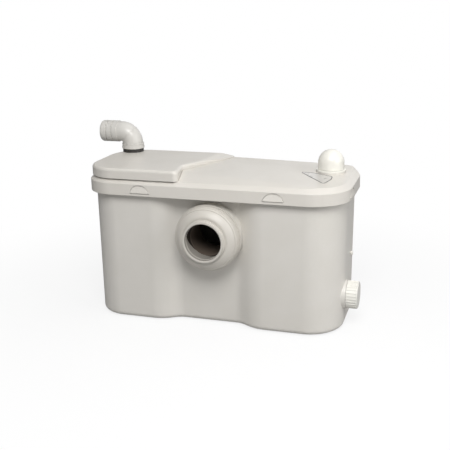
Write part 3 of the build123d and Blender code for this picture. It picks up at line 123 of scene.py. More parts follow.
FINISHES: dict[str, Finish] = {
    "body_plastic": Finish("tank_plastic", (0.70, 0.675, 0.63), (0.665, 0.64, 0.59), Surface.MOULDED, 0.42,
                           sheen=Sheen.SATIN, edge_radius=0.0014),
    "lid_plastic": Finish("lid_plastic", (0.69, 0.66, 0.61), (0.655, 0.625, 0.57), Surface.MOULDED, 0.36,
                          sheen=Sheen.SATIN, edge_radius=0.0014),
    "collar_plastic": Finish("collar_plastic", (0.60, 0.57, 0.52), (0.56, 0.53, 0.475), Surface.MOULDED, 0.46,
                             sheen=Sheen.SATIN, grain_scale=2200.0, grain_depth=0.00001),
    # Painted shade: a darker copy of the collar plastic on the inlet bore's wall, standing in for the dim
    # light inside the bore.
    "bore_painted_shade": Finish("bore_painted_shade", (0.36, 0.335, 0.30), (0.32, 0.295, 0.26), Surface.MOULDED, 0.34,
                           sheen=Sheen.SATIN, grain_scale=2200.0, grain_depth=0.00001),
    "elbow_plastic": Finish("elbow_plastic", (0.64, 0.625, 0.59), (0.60, 0.58, 0.545), Surface.MOULDED, 0.34,
                            sheen=Sheen.SATIN, grain_scale=2200.0, grain_depth=0.00001, edge_radius=0.0006),
    "dome_plastic": Finish("dome_plastic", (0.86, 0.845, 0.78), (0.83, 0.81, 0.74), Surface.MOULDED, 0.34,
                           sheen=Sheen.SATIN, grain_scale=2200.0, grain_depth=0.00001),
    "cap_plastic": Finish("cap_plastic", (0.80, 0.785, 0.73), (0.76, 0.74, 0.68), Surface.MOULDED, 0.34,
                          sheen=Sheen.SATIN, grain_scale=2200.0, grain_depth=0.00001, edge_radius=0.0005),
    "label_film": Finish("label_film", (0.60, 0.58, 0.55), (0.57, 0.55, 0.52), Surface.MOULDED, 0.30,
                         sheen=Sheen.GLOSSY, grain_scale=3000.0, grain_depth=0.000006, edge_radius=0.0002),
    "inner_plastic": Finish("inner_plastic", (0.36, 0.36, 0.35), (0.32, 0.32, 0.31), Surface.MOULDED, 0.5,
                            edge_radius=0.0006),
    "pump_plastic": Finish("pump_plastic", (0.030, 0.030, 0.031), (0.018, 0.018, 0.019), Surface.MOULDED,
                           0.45,
                           edge_radius=0.0005),
    "switch_plastic": Finish("switch_plastic", (0.045, 0.045, 0.05), (0.03, 0.03, 0.034), Surface.MOULDED,
                           0.4,
                             edge_radius=0.0005),
    "gland_plastic": Finish("gland_plastic", (0.60, 0.585, 0.54), (0.56, 0.545, 0.50), Surface.MOULDED, 0.38,
                            edge_radius=0.0005),
    "seal_rubber": Finish("seal_rubber", (0.13, 0.10, 0.078), (0.16, 0.125, 0.10), Surface.RUBBER, 0.7),
    # Painted shadow: near-black colour for the tube in the inlet bore, standing in for the shadow the rim
    # casts there; the rubber grain is only texture.
    "inlet_painted_shadow": Finish("inlet_painted_shadow", (0.024, 0.016, 0.011), (0.030, 0.020, 0.014), Surface.RUBBER,
                           0.8),
    "basket_plastic": Finish("basket_plastic", (0.20, 0.165, 0.135), (0.17, 0.14, 0.115), Surface.MOULDED,
                           0.5,
                             edge_radius=0.0005),
    "pad_rubber": Finish("pad_rubber", (0.035, 0.035, 0.036), (0.05, 0.05, 0.05), Surface.RUBBER, 0.8),
    "coupler_rubber": Finish("coupler_rubber", (0.022, 0.020, 0.018), (0.034, 0.031, 0.027), Surface.RUBBER,
                             0.28),
    "bright_steel": Finish("bright_steel", (0.58, 0.57, 0.55), (0.50, 0.49, 0.48), Surface.METAL, 0.28,
                           metallic=1.0, grain_scale=900.0, grain_depth=0.000004, edge_radius=0.0003),
    "lamination_steel": Finish("lamination_steel", (0.30, 0.30, 0.31), (0.20, 0.19, 0.19), Surface.METAL, 0.5,
                               metallic=0.9, grain_scale=2000.0, grain_depth=0.00004, edge_radius=0.0003),
    "winding_copper": Finish("winding_copper", (0.55, 0.20, 0.07), (0.38, 0.12, 0.04), Surface.WOUND, 0.35,
                             metallic=0.8, grain_scale=1000.0, grain_depth=0.0003, edge_radius=0.0005),
    "motor_paint": Finish("motor_paint", (0.055, 0.060, 0.065), (0.04, 0.043, 0.047), Surface.MOULDED, 0.45,
                          sheen=Sheen.SATIN, grain_scale=1800.0, grain_depth=0.00002, edge_radius=0.0006),
    "motor_alloy": Finish("motor_alloy", (0.55, 0.55, 0.56), (0.45, 0.45, 0.46), Surface.METAL, 0.45,
                          metallic=1.0, grain_scale=1500.0, grain_depth=0.00003),
    "filter_foam": Finish("filter_foam", (0.03, 0.03, 0.03), (0.008, 0.008, 0.008), Surface.FOAM, 0.95,
                          grain_scale=500.0, grain_depth=0.0006, edge_radius=0.0003),
    "capacitor_case": Finish("capacitor_case", (0.72, 0.72, 0.70), (0.68, 0.68, 0.66), Surface.MOULDED, 0.35,
                             edge_radius=0.0006),
}


class SurfaceGroup:
    """A shader node group that gives a tone mask, a gloss mask and a height for one kind of surface."""

    def __init__(self, surface: Surface) -> None:
        """Builds the group once.

        Args:
            surface: the kind of surface it describes.
        """
        self.surface = surface
        self.tree = bpy.data.node_groups.new(surface.value + "_surface", "ShaderNodeTree")
        face = self.tree.interface
        for name, low in (("Patch Scale", 18.0), ("Grain Scale", 1400.0)):
            socket = face.new_socket(name=name, in_out="INPUT", socket_type="NodeSocketFloat")
            socket.default_value = low
        for name in ("Tone", "Gloss", "Height"):
            face.new_socket(name=name, in_out="OUTPUT", socket_type="NodeSocketFloat")
        self.start = self.tree.nodes.new("NodeGroupInput")
        self.end = self.tree.nodes.new("NodeGroupOutput")
        self.where = self.tree.nodes.new("ShaderNodeTexCoord").outputs["Object"]
        builders: dict[Surface, Callable[[], None]] = {
            Surface.MOULDED: self._moulded,
            Surface.RUBBER: self._rubber,
            Surface.METAL: self._metal,
            Surface.WOUND: self._wound,
            Surface.FOAM: self._foam,
        }
        builders[surface]()

    def _noise(self, scale: str | float, detail: float, stretch: Vec | None = None) -> bpy.types.NodeSocket:
        """Adds a noise over the object.

        Args:
            scale: a number, or the name of the group input that gives it.
            detail: how many finer layers it has.
            stretch: factors along X, Y and Z, for drawn or turned lines.

        Returns:
            The noise's factor socket.
        """
        node = self.tree.nodes.new("ShaderNodeTexNoise")
        node.inputs["Detail"].default_value = detail
        source = self.where
        if stretch is not None:
            mapping = self.tree.nodes.new("ShaderNodeMapping")
            mapping.inputs["Scale"].default_value = stretch
            self.tree.links.new(source, mapping.inputs["Vector"])
            source = mapping.outputs["Vector"]
        self.tree.links.new(source, node.inputs["Vector"])
        if isinstance(scale, str):
            self.tree.links.new(self.start.outputs[scale], node.inputs["Scale"])
        else:
            node.inputs["Scale"].default_value = scale
        return node.outputs["Fac"]

    def _range(self, source: bpy.types.NodeSocket, low: float, high: float) -> bpy.types.NodeSocket:
        """Spreads the part of a mask between two values over 0 to 1.

        Args:
            source: the mask.
            low: value that becomes 0.
            high: value that becomes 1.

        Returns:
            The spread mask.
        """
        node = self.tree.nodes.new("ShaderNodeMapRange")
        node.inputs["From Min"].default_value = low
        node.inputs["From Max"].default_value = high
        self.tree.links.new(source, node.inputs["Value"])
        return node.outputs["Result"]

    def _blend(self, a: bpy.types.NodeSocket, b: bpy.types.NodeSocket, share: float) -> bpy.types.NodeSocket:
        """Mixes two masks.

        Args:
            a: first mask.
            b: second mask.
            share: the second mask's share.

        Returns:
            The mixed mask.
        """
        node = self.tree.nodes.new("ShaderNodeMix")
        node.data_type = "FLOAT"
        node.inputs[0].default_value = share
        self.tree.links.new(a, node.inputs[2])
        self.tree.links.new(b, node.inputs[3])
        return node.outputs[0]

    def _out(
        self, tone: bpy.types.NodeSocket, gloss: bpy.types.NodeSocket, height: bpy.types.NodeSocket
    ) -> None:
        """Links the three masks to the group's outputs.

        Args:
            tone: mask between the two colours.
            gloss: mask between the two roughnesses.
            height: height of the relief.
        """
        for socket, name in ((tone, "Tone"), (gloss, "Gloss"), (height, "Height")):
            self.tree.links.new(socket, self.end.inputs[name])

    def _moulded(self) -> None:
        """Injection-moulded plastic: broad flow patches, faint specks and a fine even grain."""
        flow = self._range(self._noise("Patch Scale", 3.0), 0.35, 0.65)
        speck = self._range(self._noise(2600.0, 2.0), 0.62, 0.80)
        tone = self._blend(flow, speck, 0.35)
        handled = self._range(self._noise(42.0, 4.0), 0.40, 0.70)
        grain = self._noise("Grain Scale", 2.0)
        sink = self._noise(30.0, 1.0)
        self._out(tone, self._blend(handled, grain, 0.3), self._blend(grain, sink, 0.25))

    def _rubber(self) -> None:
        """Moulded rubber: dusty bloom in patches over a matt, finely pitted skin."""
        bloom = self._range(self._noise("Patch Scale", 5.0), 0.45, 0.72)
        dust = self._range(self._noise(900.0, 3.0), 0.58, 0.74)
        grain = self._noise("Grain Scale", 3.0)
        self._out(self._blend(bloom, dust, 0.5), bloom, grain)

    def _metal(self) -> None:
        """Turned or drawn metal: fine rings round Z and a little tarnish."""
        tarnish = self._range(self._noise("Patch Scale", 5.0), 0.45, 0.7)
        lines = self._noise("Grain Scale", 2.0, (0.15, 0.15, 4.0))
        self._out(tarnish, self._blend(tarnish, lines, 0.6), lines)

    def _wound(self) -> None:
        """Enamelled wire laid in turns."""
        wave = self.tree.nodes.new("ShaderNodeTexWave")
        wave.bands_direction = "Z"
        wave.inputs["Distortion"].default_value = 0.6
        wave.inputs["Detail"].default_value = 1.0
        self.tree.links.new(self.where, wave.inputs["Vector"])
        self.tree.links.new(self.start.outputs["Grain Scale"], wave.inputs["Scale"])
        tone = self._blend(self._noise("Patch Scale", 4.0), wave.outputs["Fac"], 0.5)
        self._out(tone, self._noise(60.0, 3.0), wave.outputs["Fac"])

    def _foam(self) -> None:
        """Open foam: cells of uneven depth."""
        cells = self.tree.nodes.new("ShaderNodeTexVoronoi")
        self.tree.links.new(self.where, cells.inputs["Vector"])
        self.tree.links.new(self.start.outputs["Grain Scale"], cells.inputs["Scale"])
        pits = self._range(cells.outputs["Distance"], 0.05, 0.6)
        self._out(pits, self._noise("Patch Scale", 3.0), pits)


class Workshop:
    """Builds each finish's material once and lays it on pieces."""

    def __init__(self) -> None:
        """Starts with no groups and no materials."""
        self.groups: dict[Surface, SurfaceGroup] = {}
        self.materials: dict[str, bpy.types.Material] = {}

    def group(self, surface: Surface) -> SurfaceGroup:
        """Gives the node group of a kind of surface.

        Args:
            surface: the kind of surface.

        Returns:
            Its group, built at the first call.
        """
        if surface not in self.groups:
            self.groups[surface] = SurfaceGroup(surface)
        return self.groups[surface]

    def material(self, slot: str) -> bpy.types.Material:
        """Gives the material of a record slot.

        Args:
            slot: the slot's name.

        Returns:
            Its material, built at the first call.
        """
        if slot in self.materials:
            return self.materials[slot]
        finish = FINISHES[slot]
        made = bpy.data.materials.new(finish.name)
        made.use_nodes = True
        nodes = made.node_tree.nodes
        links = made.node_tree.links
        shader = nodes["Principled BSDF"]
        shader.inputs["Metallic"].default_value = finish.metallic
        shader.inputs["Coat Weight"].default_value = finish.sheen.value
        shader.inputs["Coat Roughness"].default_value = COAT_ROUGHNESS
        body = nodes.new("ShaderNodeGroup")
        body.node_tree = self.group(finish.surface).tree
        body.inputs["Patch Scale"].default_value = finish.patch_scale
        body.inputs["Grain Scale"].default_value = finish.grain_scale
        colour = nodes.new("ShaderNodeMix")
        colour.data_type = "RGBA"
        colour.inputs[6].default_value = (*finish.colour, 1.0)
        colour.inputs[7].default_value = (*finish.shade, 1.0)
        links.new(body.outputs["Tone"], colour.inputs[0])
        links.new(colour.outputs[2], shader.inputs["Base Color"])
        gloss = nodes.new("ShaderNodeMapRange")
        gloss.inputs["To Min"].default_value = finish.roughness - finish.rough_spread
        gloss.inputs["To Max"].default_value = finish.roughness + finish.rough_spread
        links.new(body.outputs["Gloss"], gloss.inputs["Value"])
        links.new(gloss.outputs["Result"], shader.inputs["Roughness"])
        edge = nodes.new("ShaderNodeBevel")
        edge.samples = EDGE_SAMPLES
        edge.inputs["Radius"].default_value = finish.edge_radius
        relief = nodes.new("ShaderNodeBump")
        relief.inputs["Strength"].default_value = 1.0
        relief.inputs["Distance"].default_value = finish.grain_depth
        links.new(body.outputs["Height"], relief.inputs["Height"])
        links.new(edge.outputs["Normal"], relief.inputs["Normal"])
        links.new(relief.outputs["Normal"], shader.inputs["Normal"])
        self.materials[slot] = made
        return made

    def dress(self, obj: bpy.types.Object, slot: str) -> None:
        """Gives an object a slot's material and nothing else.

        Args:
            obj: the object.
            slot: the record's slot.
        """
        made = self.material(slot)
        obj.data.materials.clear()
        obj.data.materials.append(made)


def start_alone(obj: bpy.types.Object) -> None:
    """Makes one object the only selected and the active one.

    Args:
        obj: the object.
    """
    bpy.ops.object.select_all(action="DESELECT")
    obj.select_set(True)
    bpy.context.view_layer.objects.active = obj


def merged_copy(node: str, name: str) -> bpy.types.Object:
    """Copies a CAD node's mesh, joins its loose triangles and clears its flat faces of seams.

    Args:
        node: the CAD node.
        name: the new piece's name.

    Returns:
        The new piece, riding on the node's body and standing for the node.
    """
    source = frame["nodes"][node]
    body = source["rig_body"]
    piece = bpy.data.objects.new(name, source.data.copy())
    bpy.context.scene.collection.objects.link(piece)
    start_alone(piece)
    piece.data.materials.clear()
    bpy.ops.object.mode_set(mode="EDIT")
    bpy.ops.mesh.select_all(action="SELECT")
    bpy.ops.mesh.remove_doubles(threshold=WELD_DISTANCE)
    bpy.ops.mesh.customdata_custom_splitnormals_clear()
    bpy.ops.mesh.dissolve_limited(angle_limit=math.radians(FLAT_ANGLE), delimit={"NORMAL"})
    bpy.ops.object.mode_set(mode="OBJECT")
    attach(piece, body)
    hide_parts(node)
    return piece


def soften(
    piece: bpy.types.Object, width: float, segments: int, sharper_than: float, smooth_below: float = 34.0
) -> None:
    """Rounds a piece's sharp edges with a bevel and shades its curved faces smooth.

    Args:
        piece: the piece.
        width: the bevel's width in metres.
        segments: faces across each rounding.
        sharper_than: the smallest angle between faces, in degrees, that is rounded.
        smooth_below: the largest angle between faces, in degrees, that is shaded smooth.
    """
    start_alone(piece)
    bevel = piece.modifiers.new("edge_rounding", "BEVEL")
    bevel.width = width
    bevel.segments = segments
    bevel.limit_method = "ANGLE"
    bevel.angle_limit = math.radians(sharper_than)
    bevel.use_clamp_overlap = True
    bpy.ops.object.modifier_apply(modifier=bevel.name)
    flatten_shading(piece, smooth_below)


def flatten_shading(piece: bpy.types.Object, smooth_below: float) -> None:
    """Shades a piece smooth, with its large faces kept flat and its roundings taking the turn.

    Args:
        piece: the piece.
        smooth_below: the largest angle between faces, in degrees, that is shaded smooth.
    """
    start_alone(piece)
    bpy.ops.object.shade_smooth_by_angle(angle=math.radians(smooth_below))
    weighted = piece.modifiers.new("weighted_shading", "WEIGHTED_NORMAL")
    weighted.weight = CORNER_WEIGHT
    weighted.keep_sharp = True
    bpy.ops.object.modifier_apply(modifier=weighted.name)


def steepen_skirt(piece: bpy.types.Object) -> None:
    """Moves a lid piece's skirt towards the upright: in at the foot, out at the shoulder.

    Args:
        piece: the lid or a snap tab.
    """
    for vertex in piece.data.vertices:
        place = vertex.co
        if place.z <= SKIRT_TOP_Z:
            shift = (place.z - SKIRT_MIDDLE_Z) * SKIRT_SHIFT_SHARE
        else:
            fade = max(0.0, (SKIRT_FADE_Z - place.z) / (SKIRT_FADE_Z - SKIRT_TOP_Z))
            shift = (SKIRT_TOP_Z - SKIRT_MIDDLE_Z) * SKIRT_SHIFT_SHARE * fade
        place.x *= 1.0 + shift / LID_HALF_LENGTH
        place.y *= 1.0 + shift / LID_HALF_DEPTH


def round_chosen_edges(
    piece: bpy.types.Object, chosen: Callable[[Vector, Vector, float], bool], width: float, segments: int
) -> int:
    """Rounds the edges of a piece that a test picks.

    Args:
        piece: the piece.
        chosen: given an edge's middle, the mean of its faces' normals and the angle between them in
            degrees, tells whether to round it.
        width: distance from the edge, in metres, at which the rounding starts.
        segments: faces across the rounding.

    Returns:
        How many edges were rounded.
    """
    start_alone(piece)
    mesh = piece.data
    normals: dict[tuple[int, int], list[Vector]] = {}
    for polygon in mesh.polygons:
        for key in polygon.edge_keys:
            normals.setdefault(key, []).append(polygon.normal.copy())
    picked = 0
    for polygon in mesh.polygons:
        polygon.select = False
    for vertex in mesh.vertices:
        vertex.select = False
    for edge in mesh.edges:
        key = (edge.vertices[0], edge.vertices[1])
        sides = normals.get(key) or normals.get((key[1], key[0])) or []
        edge.select = False
        if len(sides) == 2:
            middle = (mesh.vertices[key[0]].co + mesh.vertices[key[1]].co) / 2
            bend = math.degrees(sides[0].angle(sides[1], 0.0))
            if chosen(middle, (sides[0] + sides[1]).normalized(), bend):
                edge.select = True
                picked += 1
    bpy.ops.object.mode_set(mode="EDIT")
    bpy.ops.mesh.select_mode(type="EDGE")
    bpy.ops.mesh.bevel(
        offset_type="OFFSET", offset=width, segments=segments, profile=0.5, affect="EDGES", clamp_overlap=True
    )
    bpy.ops.object.mode_set(mode="OBJECT")
    return picked


@dataclass
class Shells:
    """Tank, lid, service cover and snap tabs with the soft moulded edges of the real ones.

    Lengths are in metres.
    """

    workshop: Workshop
    shoulder_round: float = 0.0065
    shoulder_segments: int = 4
    shoulder_lean: float = 0.6
    shoulder_rise: float = 0.1
    shoulder_bends: tuple[float, float] = (18.0, 60.0)
    cover_sharp_angle: float = 30.0
    cover_smooth_angle: float = 17.0
    fine_round: float = 0.0007
    small_shells: tuple[tuple[str, float, str], ...] = (
        ("tab_front_left", 0.0006, "lid_plastic"),
        ("tab_front_right", 0.0006, "lid_plastic"),
        ("tab_right", 0.0006, "lid_plastic"),
        ("tab_back_right", 0.0006, "lid_plastic"),
        ("tab_back_left", 0.0006, "lid_plastic"),
        ("tab_left", 0.0006, "lid_plastic"),
        ("inlet_collar", 0.0005, "collar_plastic"),
        ("inlet_sleeve", 0.0013, "collar_plastic"),
        ("discharge_elbow", 0.0006, "elbow_plastic"),
        ("rubber_coupler", 0.0006, "coupler_rubber"),
        ("dome_cap", 0.0005, "dome_plastic"),
        ("vent_seat", 0.0006, "dome_plastic"),
        ("side_spigot", 0.0005, "collar_plastic"),
        ("side_cap", 0.0003, "cap_plastic"),
        ("side_plug", 0.0004, "cap_plastic"),
        ("cable_gland", 0.0004, "gland_plastic"),
        ("gland_nut", 0.0004, "gland_plastic"),
    )
    corner_middle: tuple[float, float] = (-0.186, -0.049)
    corner_core: float = 0.022
    corner_slack: float = 0.0003
    corner_growth: float = 0.014
    lid_shoulder_z: float = 0.2405
    tab_foot_z: float = 0.2267
    tab_foot_lift: float = 0.00025

    def build(self) -> None:
        """Builds every shell."""
        self._lid()
        self._service_cover()
        self._tank()
        for node, width, slot in self.small_shells:
            piece = merged_copy(node, node + "_shell")
            if slot == "lid_plastic":
                steepen_skirt(piece)
                self._lift_foot(piece)
            soften(piece, width, BEVEL_SEGMENTS, SHARP_ANGLE)
            self._finish(piece, slot)

    def _lift_foot(self, piece: bpy.types.Object) -> None:
        """Raises a snap tab's foot, so that it clears the lid when the tab is pressed.

        Args:
            piece: the snap tab's shell.
        """
        for vertex in piece.data.vertices:
            if vertex.co.z < self.tab_foot_z:
                vertex.co.z += self.tab_foot_lift

    def _finish(self, piece: bpy.types.Object, slot: str) -> None:
        """Dresses a shell and logs it.

        Args:
            piece: the shell.
            slot: the record's slot.
        """
        self.workshop.dress(piece, slot)
        LOG.info("%s: %d faces", piece.name, len(piece.data.polygons))

    def _lid(self) -> None:
        """The lid, its shoulder rolled into the skirt and the top."""
        piece = merged_copy("lid", "lid_shell")
        steepen_skirt(piece)
        least, most = self.shoulder_bends

        def shoulder(middle: Vector, way: Vector, bend: float) -> bool:
            """Picks the outer edges above and below the sloping shoulder."""
            outward = Vector((middle.x, middle.y, 0.0)).normalized()
            leans = way.z > self.shoulder_rise and way.dot(outward) + way.z > self.shoulder_lean
            return middle.z > self.lid_shoulder_z and leans and least < bend < most

        count = round_chosen_edges(piece, shoulder, self.shoulder_round, self.shoulder_segments)
        LOG.info("lid shoulder edges rounded: %d", count)
        soften(piece, self.fine_round, BEVEL_SEGMENTS, SHARP_ANGLE)
        self._finish(piece, "lid_plastic")

    def _service_cover(self) -> None:
        """The raised service cover with its chamfer."""
        piece = merged_copy("service_cover", "service_cover_shell")
        self._draw_in_corner(piece)
        soften(piece, self.fine_round, BEVEL_SEGMENTS, self.cover_sharp_angle, self.cover_smooth_angle)
        self._finish(piece, "lid_plastic")

    def _draw_in_corner(self, piece: bpy.types.Object) -> None:
        """Gives the cover's front left corner a larger radius, so that it stays inside the lid's.

        Args:
            piece: the service cover's shell.
        """
        for vertex in piece.data.vertices:
            aside = Vector((vertex.co.x - self.corner_middle[0], vertex.co.y - self.corner_middle[1]))
            inside = aside.x < self.corner_slack and aside.y < self.corner_slack
            if inside and aside.length > self.corner_core:
                way = aside.normalized()
                vertex.co.x += self.corner_growth * (1.0 + min(way.x, 0.0))
                vertex.co.y += self.corner_growth * (1.0 + min(way.y, 0.0))

    def _tank(self) -> None:
        """The wavy-fronted tank."""
        piece = merged_copy("tank", "tank_shell")
        soften(piece, self.fine_round, BEVEL_SEGMENTS, SHARP_ANGLE)
        self._finish(piece, "body_plastic")


@dataclass
class Label:
    """Bare film label let into the lid, with a thin dark edge."""

    workshop: Workshop
    edge_width: float = 0.0011
    edge_height: float = 0.00012
    face_round: float = 0.00012
    top_normal_z: float = 0.9

    def build(self) -> None:
        """Builds the label and its edge strip from the plate's own outline."""
        plate = merged_copy("label_plate", "label_face")
        soften(plate, self.face_round, BEVEL_SEGMENTS, SHARP_ANGLE)
        self.workshop.dress(plate, "label_film")
        edge = bpy.data.objects.new("label_edge", plate.data.copy())
        bpy.context.scene.collection.objects.link(edge)
        edge.data.materials.clear()
        self._strip(edge)
        self.workshop.dress(edge, "switch_plastic")
        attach(edge, "lid")
        LOG.info("label: %d and %d faces", len(plate.data.polygons), len(edge.data.polygons))

    def _strip(self, edge: bpy.types.Object) -> None:
        """Turns a copy of the label into the narrow raised strip along its outline.

        Args:
            edge: the copy.
        """
        start_alone(edge)
        mesh = edge.data
        tops = [face for face in mesh.polygons if face.normal.z > self.top_normal_z]
        keep = max(tops, key=lambda face: face.area).index
        bpy.ops.object.mode_set(mode="EDIT")
        bpy.ops.mesh.select_mode(type="FACE")
        bpy.ops.object.mode_set(mode="OBJECT")
        for face in mesh.polygons:
            face.select = face.index != keep
        bpy.ops.object.mode_set(mode="EDIT")
        bpy.ops.mesh.delete(type="FACE")
        bpy.ops.mesh.select_all(action="SELECT")
        bpy.ops.mesh.inset(thickness=self.edge_width, depth=0.0)
        bpy.ops.mesh.delete(type="FACE")
        bpy.ops.object.mode_set(mode="OBJECT")
        wall = edge.modifiers.new("strip_height", "SOLIDIFY")
        wall.thickness = self.edge_height
        wall.offset = 1.0
        bpy.ops.object.modifier_apply(modifier=wall.name)


@dataclass
class InletPaintedShadeAndRidges:
    """Painted shade inside the pan inlet, and the ridges: a dark tube slanting back towards the bottom left
    paints the rim's shadow, and a mid-tone tube paints shade on the bore wall.
    """

    workshop: Workshop
    middle: Vec = (-0.005, -0.084, 0.1585)
    radius: float = 0.0303
    front: float = -0.1085
    # Slant and reach bend the painted shadow's front edge along the shadow line: at the rim at the top right,
    # falling back into the bore towards the bottom left.
    slant: Vec = (-0.14, 0.0, -0.30)
    reach: float = 0.075
    segments: int = 96
    tube_length: float = 0.02
    wall: float = 0.0001
    smooth_angle: float = 40.0
    bore_radius: float = 0.03045
    bore_front: float = -0.1108
    bore_back: float = -0.084
    edge_gap: float = 0.0005
    rings: tuple[tuple[str, float, float, float], ...] = (
        ("inlet_ridge", 0.0303, -0.1045, 0.0005),
        ("collar_ridge_outer", 0.0524, -0.0924, 0.0009),
        ("collar_ridge_inner", 0.0503, -0.0962, 0.0007),
    )

    def build(self) -> None:
        """Builds the painted shadow tube, the painted shade tube on the bore wall and the fine ridges."""
        # Painted shadow: a dark tube whose front edge follows the rim's shadow line.
        shadow_tube = self._tube("inlet_painted_shadow", self.radius)
        for vertex in shadow_tube.data.vertices:
            if vertex.co.y < self.middle[1]:
                aside = vertex.co - Vector(self.middle)
                lean = max(0.0, aside.x * self.slant[0] + aside.z * self.slant[2])
                slanted = self.front + lean / self.radius * self.reach
                vertex.co.y = min(slanted, self.bore_back - self.edge_gap)
            else:
                vertex.co.y = self.bore_back
        self._close(shadow_tube, "inlet_painted_shadow")
        # Painted shade: a mid-tone tube over the bore wall, darker than the collar, where the lit crescent
        # inside the rim shows.
        bore = self._tube("inlet_bore_shade_tube", self.bore_radius)
        for vertex in bore.data.vertices:
            vertex.co.y = self.bore_front if vertex.co.y < self.middle[1] else self.bore_back
        self._close(bore, "bore_painted_shade")
        for name, radius, place, wire in self.rings:
            self._ring(name, radius, place, wire)

    def _tube(self, name: str, radius: float) -> bpy.types.Object:
        """Adds an open tube in the inlet's bore.

        Args:
            name: the tube's name.
            radius: its radius.

        Returns:
            The tube.
        """
        bpy.ops.object.select_all(action="DESELECT")
        bpy.ops.mesh.primitive_cylinder_add(
            vertices=self.segments, radius=radius, depth=self.tube_length, end_fill_type="NOTHING",
            location=self.middle, rotation=(math.radians(90.0), 0.0, 0.0),
        )
        piece = bpy.context.object
        piece.name = name
        bpy.ops.object.transform_apply(location=True, rotation=True, scale=True)
        return piece

    def _close(self, piece: bpy.types.Object, finish: str) -> None:
        """Gives a tube its wall, its finish and its body.

        Args:
            piece: the tube.
            finish: the finish it shows.
        """
        start_alone(piece)
        wall = piece.modifiers.new("shade_tube_wall", "SOLIDIFY")
        wall.thickness = self.wall
        wall.offset = -1.0
        bpy.ops.object.modifier_apply(modifier=wall.name)
        bpy.ops.object.shade_smooth_by_angle(angle=math.radians(self.smooth_angle))
        self.workshop.dress(piece, finish)
        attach(piece, "tank")
        LOG.info("%s: %d faces", piece.name, len(piece.data.polygons))

    def _ring(self, name: str, radius: float, place: float, wire: float) -> None:
        """Adds a fine ridge that runs round the inlet.

        Args:
            name: the ridge's name.
            radius: its radius.
            place: where it lies along the bore.
            wire: the ridge's own radius.
        """
        bpy.ops.object.select_all(action="DESELECT")
        bpy.ops.mesh.primitive_torus_add(
            major_segments=self.segments, minor_segments=RING_FACES, major_radius=radius, minor_radius=wire,
            location=(self.middle[0], place, self.middle[2]), rotation=(math.radians(90.0), 0.0, 0.0),
        )
        ring = bpy.context.object
        ring.name = name
        bpy.ops.object.transform_apply(location=True, rotation=True, scale=True)
        bpy.ops.object.shade_smooth_by_angle(angle=math.radians(RING_SMOOTH_ANGLE))
        self.workshop.dress(ring, "collar_plastic")
        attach(ring, "tank")
        LOG.info("%s: %d faces", ring.name, len(ring.data.polygons))


@dataclass
class ElbowMarks:
    """Moulding seam across the elbow's bend, the bead at its socket and the barbs' rounded crests."""

    workshop: Workshop
    seam_middle: Vec = (-0.19886, 0.062, 0.29514)
    seam_tilt: float = -45.0
    seam_radius: float = 0.0178
    bead_middle: Vec = (-0.193, 0.062, 0.2795)
    bead_radius: float = 0.0195
    wire: float = 0.00045
    segments: int = 64
    barb_places: tuple[float, ...] = (-0.2425, -0.232, -0.2215)
    barb_axis: tuple[float, float] = (0.062, 0.301)
    barb_tilt: float = 90.0
    barb_radius: float = 0.0177
    barb_wire: float = 0.0013

    def build(self) -> None:
        """Builds the rings as one piece."""
        bpy.ops.object.select_all(action="DESELECT")
        rings = [
            self._ring(self.seam_middle, self.seam_radius, self.seam_tilt, self.wire),
            self._ring(self.bead_middle, self.bead_radius, 0.0, self.wire),
        ]
        for place in self.barb_places:
            middle = (place, *self.barb_axis)
            rings.append(self._ring(middle, self.barb_radius, self.barb_tilt, self.barb_wire))
        bpy.ops.object.select_all(action="DESELECT")
        for ring in rings:
            ring.select_set(True)
        bpy.context.view_layer.objects.active = rings[0]
        bpy.ops.object.join()
        piece = bpy.context.object
        piece.name = "elbow_seams"
        bpy.ops.object.transform_apply(location=True, rotation=True, scale=True)
        bpy.ops.object.shade_smooth_by_angle(angle=math.radians(RING_SMOOTH_ANGLE))
        self.workshop.dress(piece, "elbow_plastic")
        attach(piece, "elbow")
        LOG.info("%s: %d faces", piece.name, len(piece.data.polygons))

    def _ring(self, middle: Vec, radius: float, tilt: float, wire: float) -> bpy.types.Object:
        """Adds a fine ring round the pipe.

        Args:
            middle: the ring's centre.
            radius: the pipe's outer radius there.
            tilt: its turn about Y in degrees.
            wire: the ring's own radius.

        Returns:
            The ring.
        """
        bpy.ops.mesh.primitive_torus_add(
            major_segments=self.segments, minor_segments=RING_FACES, major_radius=radius, minor_radius=wire,
            location=middle, rotation=(0.0, math.radians(tilt), 0.0),
        )
        return bpy.context.object


@dataclass(frozen=True)
class Lamp:
    """A soft square lamp. Lengths are in metres, the power in watts."""

    name: str
    place: Vec
    aim: Vec
    size: float
    power: float


